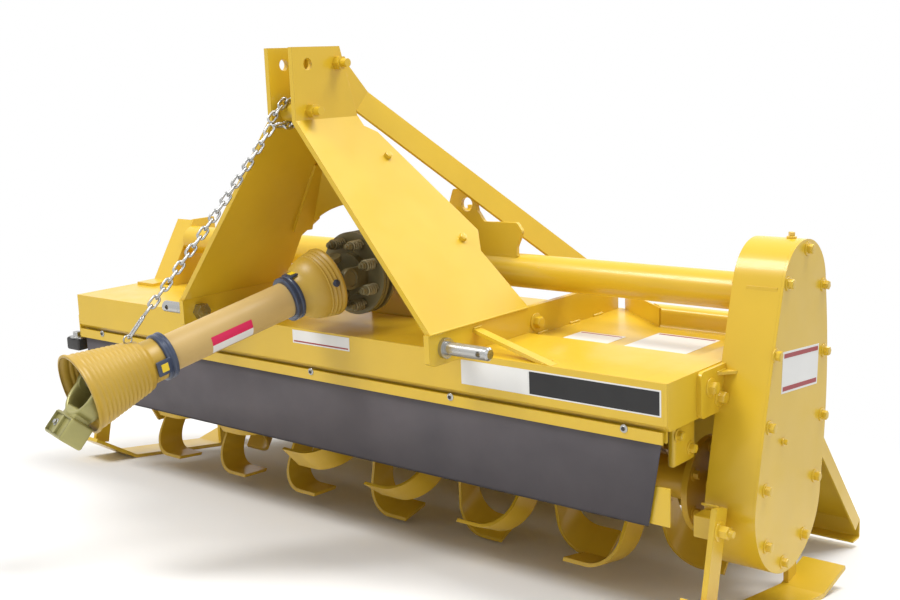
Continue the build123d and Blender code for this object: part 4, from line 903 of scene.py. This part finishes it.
# %% [markdown]
# Each guard bearing has a dark blue collar with a rounded edge and a tab towards its cone, which
# carries a small yellow pad. `around` stands a piece on the driveline's skin, at a distance along
# it and a turn around it. A round plug closes the grease window in the inner cone's side.

# %% Collars, tabs and the grease window's plug
RIM = [
    (0, 41.4), (0, 49), (2.5, 52), (8, 52), (10, 50.6), (14, 50.6), (16, 52), (21.5, 52), (24, 49),
    (24, 41.4), (0, 41.4),
]
COLLARS = (
    # node it replaces, start, tab's turn in degrees, tab's direction
    ("inner_collar", 118, 0, -1),
    ("outer_collar", 446, 95, 1),
)


def around(s, radius, turned):
    place = Vector((radius * sin(turned), radius * cos(turned), s))
    return Matrix.Translation(place) @ Matrix.Rotation(-turned, 4, "Z") @ Matrix.Rotation(-pi / 2, 4, "X")


for node_name, start, tab_turn, way in COLLARS:
    bm = bmesh.new()
    lathe(bm, [(start + s, radius) for s, radius in RIM], 72)
    tab = bmesh.new()
    block(tab, (34, 34, 5), (0, 0, 0), 1.6)
    tab_place = around(start + 12 + way * 22, 50, radians(tab_turn))
    stamp(bm, master("tab", tab), [tab_place])
    collar = make(f"{node_name}_moulded", bm, collar_plastic, "driveline", where=along_drive)
    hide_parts(node_name)
    bm = bmesh.new()
    block(bm, (18, 16, 1.4), (0, 0, 3), 0.4, 1)
    make(f"{node_name}_pad", bm, yellow_vinyl, "driveline", where=along_drive @ tab_place)

bm = bmesh.new()
prism(bm, 32, 8.5, -2, 3.6, 1.2)
prism(bm, 32, 5.5, 3.0, 4.4, 0.6)
make("inner_cone_plug", bm, collar_plastic, "driveline", where=along_drive @ around(45, 76.5, radians(78)))
print("collars:", len(COLLARS))

# %% [markdown]
# The guard tube's label follows the tube's round skin: a straight line spun through part of a
# turn and given a thickness, once for the pink half and once for the white one.

# %% The guard tube's label
LABEL_RADIUS = 41.4
LABEL_ENDS = (255, 358)
TUBE_LABELS = (
    # name, colour, first and last turn in degrees
    ("tube_label_upper", pink_vinyl, 78, 106),
    ("tube_label_lower", white_vinyl, 106, 138),
)
for name, look, first, last in TUBE_LABELS:
    x = LABEL_RADIUS * sin(radians(first))
    y = LABEL_RADIUS * cos(radians(first))
    bm = bmesh.new()
    bm.edges.new([bm.verts.new((x, y, s)) for s in LABEL_ENDS])
    bmesh.ops.spin(
        bm, geom=bm.verts[:] + bm.edges[:], cent=(0, 0, 0), axis=(0, 0, -1),
        angle=radians(last - first), steps=12,
    )
    bmesh.ops.solidify(bm, geom=bm.faces[:], thickness=0.4)
    make(name, bm, look, "driveline", where=along_drive)
print("tube label bands:", len(TUBE_LABELS))

# %% [markdown]
# The slip clutch squeezes its friction plates with eight coil springs on long bolts. A coil is one
# small circle spun around the bolt while it climbs, and its two ends are closed.

# %% Clutch springs and their bolts
CLUTCH_FRONT_Y = 92
SPRING_CIRCLE = 76
SPRINGS = 8
COIL_WIRE = 2.5
COIL_RADIUS = 10.8
COIL_TURNS = 4.5
COIL_HEIGHT = 33
STEPS_A_TURN = 22

spring_steel = paint(
    "spring_steel", ((0.36, 0.32, 0.19), (0.27, 0.24, 0.14)), (0.3, 0.5), (300, 0.2),
    edge_mm=0.4, metallic=0.4,
)
bm = bmesh.new()
wire_section(bm, COIL_WIRE, COIL_RADIUS, 9)
bmesh.ops.spin(
    bm, geom=bm.verts[:] + bm.edges[:], cent=(0, 0, 0), axis=(0, 0, 1),
    dvec=(0, 0, COIL_HEIGHT / (COIL_TURNS * STEPS_A_TURN)), angle=tau * COIL_TURNS,
    steps=int(COIL_TURNS * STEPS_A_TURN),
)
bmesh.ops.holes_fill(bm, edges=[e for e in bm.edges if e.is_boundary])
COIL = master("coil", bm)
bolt = bmesh.new()
prism(bolt, 20, 5.4, 0, 38)
prism(bolt, 28, 10.5, 37, 39.5, 0.8)
prism(bolt, 6, 9.6, 39.5, 47, 1.2)
prism(bolt, 18, 5.0, 47, 52, 1)
SPRING_BOLT = master("spring_bolt", bolt)

coils = bmesh.new()
bolts = bmesh.new()
for number in range(SPRINGS):
    turned = radians(22.5 + 360 / SPRINGS * number)
    x = SPRING_CIRCLE * cos(turned)
    z = joint_middle.z + SPRING_CIRCLE * sin(turned)
    stamp(coils, COIL, [spot((x, CLUTCH_FRONT_Y - COIL_WIRE, z), FORWARD)])
    stamp(bolts, SPRING_BOLT, [spot((x, CLUTCH_FRONT_Y, z), FORWARD)])
springs = make("clutch_coils", coils, spring_steel, "frame", sharp=60)
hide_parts("clutch_springs")
make("clutch_spring_bolts", bolts, clutch_steel, "frame")
print("coil triangles:", triangles(COIL))

# %% [markdown]
# The joint behind the inner cone shows the round caps of its bearings. A cap is a dished profile
# on the lathe, from its middle out, round the edge and back to the middle.

# %% Joint caps
CAP_SHAPE = [(0, 0), (0, 25), (3, 26), (6.5, 25), (7.5, 22), (7.5, 18), (4.5, 17), (4.5, 0)]

cap = bmesh.new()
lathe(cap, CAP_SHAPE, 36)
CAP = master("joint_cap", cap)
bm = bmesh.new()
stamp(bm, CAP, [spot((sign * 46, 32, 126), (sign, 0, 0)) for sign in (1, -1)])
make("clutch_joint_caps", bm, clutch_steel, "frame")
print("cap triangles:", triangles(CAP))

# %% [markdown]
# The holding chain is real chain: every link is a ring of round wire stretched by its straight
# sides and turned a quarter against its neighbour. The link is spun as a round ring, and then its
# two halves are drawn apart.

# %% One chain link
WIRE = 6
LINK_LENGTH = 34
LINK_WIDTH = 21
LINK_PITCH = LINK_LENGTH - 2 * WIRE
HALF_DRAW = (LINK_LENGTH - LINK_WIDTH) / 2

bm = bmesh.new()
wire_section(bm, WIRE / 2, LINK_WIDTH / 2 - WIRE / 2, 10)
spin_round(bm, 24)
upper = [v for v in bm.verts if v.co.y > 1e-3]
lower = [v for v in bm.verts if v.co.y < -1e-3]
bmesh.ops.translate(bm, verts=upper, vec=(0, HALF_DRAW, 0))
bmesh.ops.translate(bm, verts=lower, vec=(0, -HALF_DRAW, 0))
LINK = master("chain_link", bm)
print("link triangles:", triangles(LINK))

# %% [markdown]
# The chain loops around the mast's spacer and hangs down to the hook with a slight sag. The links
# are dealt out at even distances along a run of points.

# %% Holding chain
join = Vector((-8, -128, 484))
HOOK_LENGTH = 62
CHAIN_SAG = 9
SAG_POINTS = 18


def links_along(points):
    places = []
    lengths = [(b - a).length for a, b in zip(points, points[1:])]
    total = sum(lengths)
    count = max(1, round(total / LINK_PITCH))
    for number in range(count):
        target = total * (number + 0.5) / count
        piece = 0
        while piece < len(lengths) - 1 and target > lengths[piece]:
            target -= lengths[piece]
            piece += 1
        stretch = points[piece + 1] - points[piece]
        direction = stretch.normalized()
        cross = direction.cross(Vector((0.3, 0.2, 1))).normalized()
        base = Matrix((cross, direction, direction.cross(cross))).transposed().to_4x4()
        twist = Matrix.Rotation(radians(45 + 90 * (number % 2)), 4, "Y")
        middle = points[piece] + stretch * (target / lengths[piece])
        places.append(to_frame @ (Matrix.Translation(middle) @ base @ twist))
    return places


def sagging(start, end, sag):
    shares = [number / SAG_POINTS for number in range(SAG_POINTS + 1)]
    drops = [Vector((0, 0, -sag * 4 * share * (1 - share))) for share in shares]
    return [start + (end - start) * share + drop for share, drop in zip(shares, drops)]


hook_foot = joint_middle + drive_s * 520 + drive_v * 66
reach_up = (join - hook_foot).normalized()
hook_eye = hook_foot + reach_up * HOOK_LENGTH
hanging = links_along(sagging(join, hook_eye, CHAIN_SAG))
wrap = [
    join + Vector((8, 6, 2)), Vector((4, -96, 484)), Vector((2, -62, 484)), Vector((-2, -34, 498)),
    Vector((-6, -32, 522)), Vector((-10, -54, 542)), Vector((-14, -84, 532)), join + Vector((-6, 2, 12)),
]
bm = bmesh.new()
stamp(bm, LINK, hanging)
stamp(bm, LINK, links_along(wrap))
chain = make("holding_chain_links", bm, zinc, "", sharp=80)
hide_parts("holding_chain")
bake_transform(chain)
print("hanging links:", len(hanging))

# %% [markdown]
# The coupler's fork is a forging: two arms that run into one bow, with a round ear at the end of
# each. The arm's section is a circle pressed towards a rounded bar. It is drawn out along one arm,
# spun half a turn for the bow, and drawn out again along the other.

# %% Coupler yoke: the fork
EAR_REACH = 43.5
ARM_HALF_THICK = 6.8
ARM_HALF_WIDTH = 22
BOW_START = 30
ARM_STEPS = 3


def pressed(value, half, power):
    return half * (1 if value > 0 else -1) * abs(value) ** power


def verts_of(geom):
    return [g for g in geom if isinstance(g, bmesh.types.BMVert)]


def edges_of(geom):
    return [g for g in geom if isinstance(g, bmesh.types.BMEdge)]


def draw_out(bm, edges, step, count):
    for _ in range(count):
        drawn = bmesh.ops.extrude_edge_only(bm, edges=edges)["geom"]
        bmesh.ops.translate(bm, verts=verts_of(drawn), vec=(0, 0, step))
        edges = edges_of(drawn)
    return edges


fork = bmesh.new()
section = bmesh.ops.create_circle(fork, cap_ends=False, radius=1, segments=24)["verts"]
for v in section:
    v.co = (EAR_REACH + pressed(v.co.x, ARM_HALF_THICK, 0.55), pressed(v.co.y, ARM_HALF_WIDTH, 0.7), 0)
edges = draw_out(fork, fork.edges[:], BOW_START / ARM_STEPS, ARM_STEPS)
bow = bmesh.ops.spin(
    fork, geom=edges + once(v for e in edges for v in e.verts), cent=(0, 0, BOW_START),
    axis=(0, -1, 0), angle=pi, steps=20,
)["geom_last"]
draw_out(fork, edges_of(bow), -BOW_START / ARM_STEPS, ARM_STEPS)
neck = bmesh.new()
block(neck, (60, 42, 30), (0, 0, 72), 7, 3)
stamp(fork, master("yoke_neck", neck), [Matrix()])
EAR_SHAPE = [(-6.5, 0), (-6.5, 22.5), (-5, 24), (5, 24), (6.5, 22.5), (6.5, 15.5), (4, 15), (4, 0)]
for sign in (1, -1):
    ear = bmesh.new()
    lathe(ear, EAR_SHAPE, 40)
    upright_ear = Matrix.Translation((sign * EAR_REACH, 0, 0)) @ Matrix.Rotation(sign * pi / 2, 4, "Y")
    stamp(fork, master("ear", ear), [upright_ear])
print("fork faces:", len(fork.faces))

# %% [markdown]
# Behind the fork sits the hub that slides onto the tractor's shaft: a block with two shallow
# pockets in its front face, rounded along its outer edges only, and a round bore in its end. The
# rounding picks the edges whose two ends both lie on the rim of the block.

# %% Coupler yoke: the hub
HUB_SIZE = (84, 56, 52)
HUB_MIDDLE_Z = 104
HUB_END_Z = 130
BORE_RADIUS = 17.5
BORE_DEPTH = 50

hub = bmesh.new()
block(hub, HUB_SIZE, (0, 0, HUB_MIDDLE_Z))
long_edges = [e for e in hub.edges if abs(e.verts[0].co.x - e.verts[1].co.x) > 50]
bmesh.ops.subdivide_edges(hub, edges=long_edges, cuts=1)
front = [f for f in hub.faces if f.calc_center_median().y > 27]
bmesh.ops.recalc_face_normals(hub, faces=hub.faces)
bmesh.ops.inset_individual(hub, faces=front, thickness=5.5, depth=0)
bmesh.ops.inset_individual(hub, faces=front, thickness=2, depth=-6)


def rims_at(vert):
    at_side = abs(abs(vert.co.x) - 42) < 0.1
    at_face = abs(abs(vert.co.y) - 28) < 0.1
    at_end = abs(abs(vert.co.z - HUB_MIDDLE_Z) - 26) < 0.1
    return at_side + at_face + at_end


corners = [e for e in hub.edges if all(rims_at(v) >= 2 for v in e.verts) and e.calc_face_angle(0) > 1]
soften(hub, corners, 6, 4)
ends = [f for f in hub.faces if f.calc_center_median().z > HUB_END_Z - 0.1 and f.normal.z > 0.9]
bmesh.ops.delete(hub, geom=ends, context="FACES_ONLY")
mouth = [e for e in hub.edges if e.is_boundary]
round_edge = bmesh.ops.create_circle(
    hub, cap_ends=False, radius=BORE_RADIUS, segments=44, matrix=Matrix.Translation((0, 0, HUB_END_Z)),
)["verts"]
bore = once(e for v in round_edge for e in v.link_edges)
bmesh.ops.triangle_fill(hub, use_beauty=True, edges=mouth + bore)
bmesh.ops.contextual_create(hub, geom=draw_out(hub, bore, -BORE_DEPTH, 1))
stamp(fork, master("yoke_hub", hub), [Matrix()])
yoke = make("coupler_yoke_forged", fork, yoke_steel, "coupler", sharp=45, where=along_coupler)
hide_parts("coupler_yoke")
print("yoke triangles:", triangles(yoke.data))

# %% [markdown]
# A zinc push pin in one of the pockets locks the hub on the shaft.

# %% Push pin
pin = bmesh.new()
prism(pin, 28, 8, -1, 3, 1)
prism(pin, 24, 5, 3, 7.5, 1.4, 3)
pin_place = Matrix.Translation((-20, 21.6, 103)) @ Matrix.Rotation(-pi / 2, 4, "X")
make("coupler_push_pin", pin, zinc, "coupler", where=along_coupler @ pin_place)
print("push pin stands", pin_place.translation.z, "mm behind the joint")

# %% [markdown]
# A snap hook holds the chain's last link to a wire ring in the neck of the outer cone. Its two
# straight sides are rods, and a hoop of the same wire closes each end.

# %% Ring and snap hook
HOOK_WIRE = 2.6
HOOK_HALF = 5.2
RING_RADIUS = 9


def rod(bm, radius, start, end):
    run = end - start
    place = Matrix.Translation((start + end) / 2) @ run.to_track_quat("Z", "Y").to_matrix().to_4x4()
    bmesh.ops.create_cone(
        bm, cap_ends=True, segments=12, radius1=radius, radius2=radius, depth=run.length, matrix=place,
    )


def hoop(bm, radius, wire, place):
    ring = bmesh.new()
    wire_section(ring, wire, radius, 10)
    spin_round(ring, 28)
    stamp(bm, master("hoop", ring), [place])


bm = bmesh.new()
hoop(bm, RING_RADIUS, 1.8, spot(hook_foot, drive_s.cross(drive_v), drive_v))
side_way = reach_up.cross(Vector(UP)).normalized()
hook_low = hook_foot + reach_up * RING_RADIUS
hook_high = hook_eye - reach_up * 8
for sign in (1, -1):
    shift = side_way * sign * HOOK_HALF
    side = bmesh.new()
    rod(side, HOOK_WIRE, hook_low + shift, hook_high + shift)
    stamp(bm, master("hook_side", side), [to_frame])
for centre in (hook_low, hook_high):
    hoop(bm, HOOK_HALF, HOOK_WIRE, spot(centre, reach_up.cross(side_way), reach_up))
make("snap_hook", bm, zinc, "driveline", sharp=60)
print("hook length mm:", round((hook_eye - hook_foot).length))
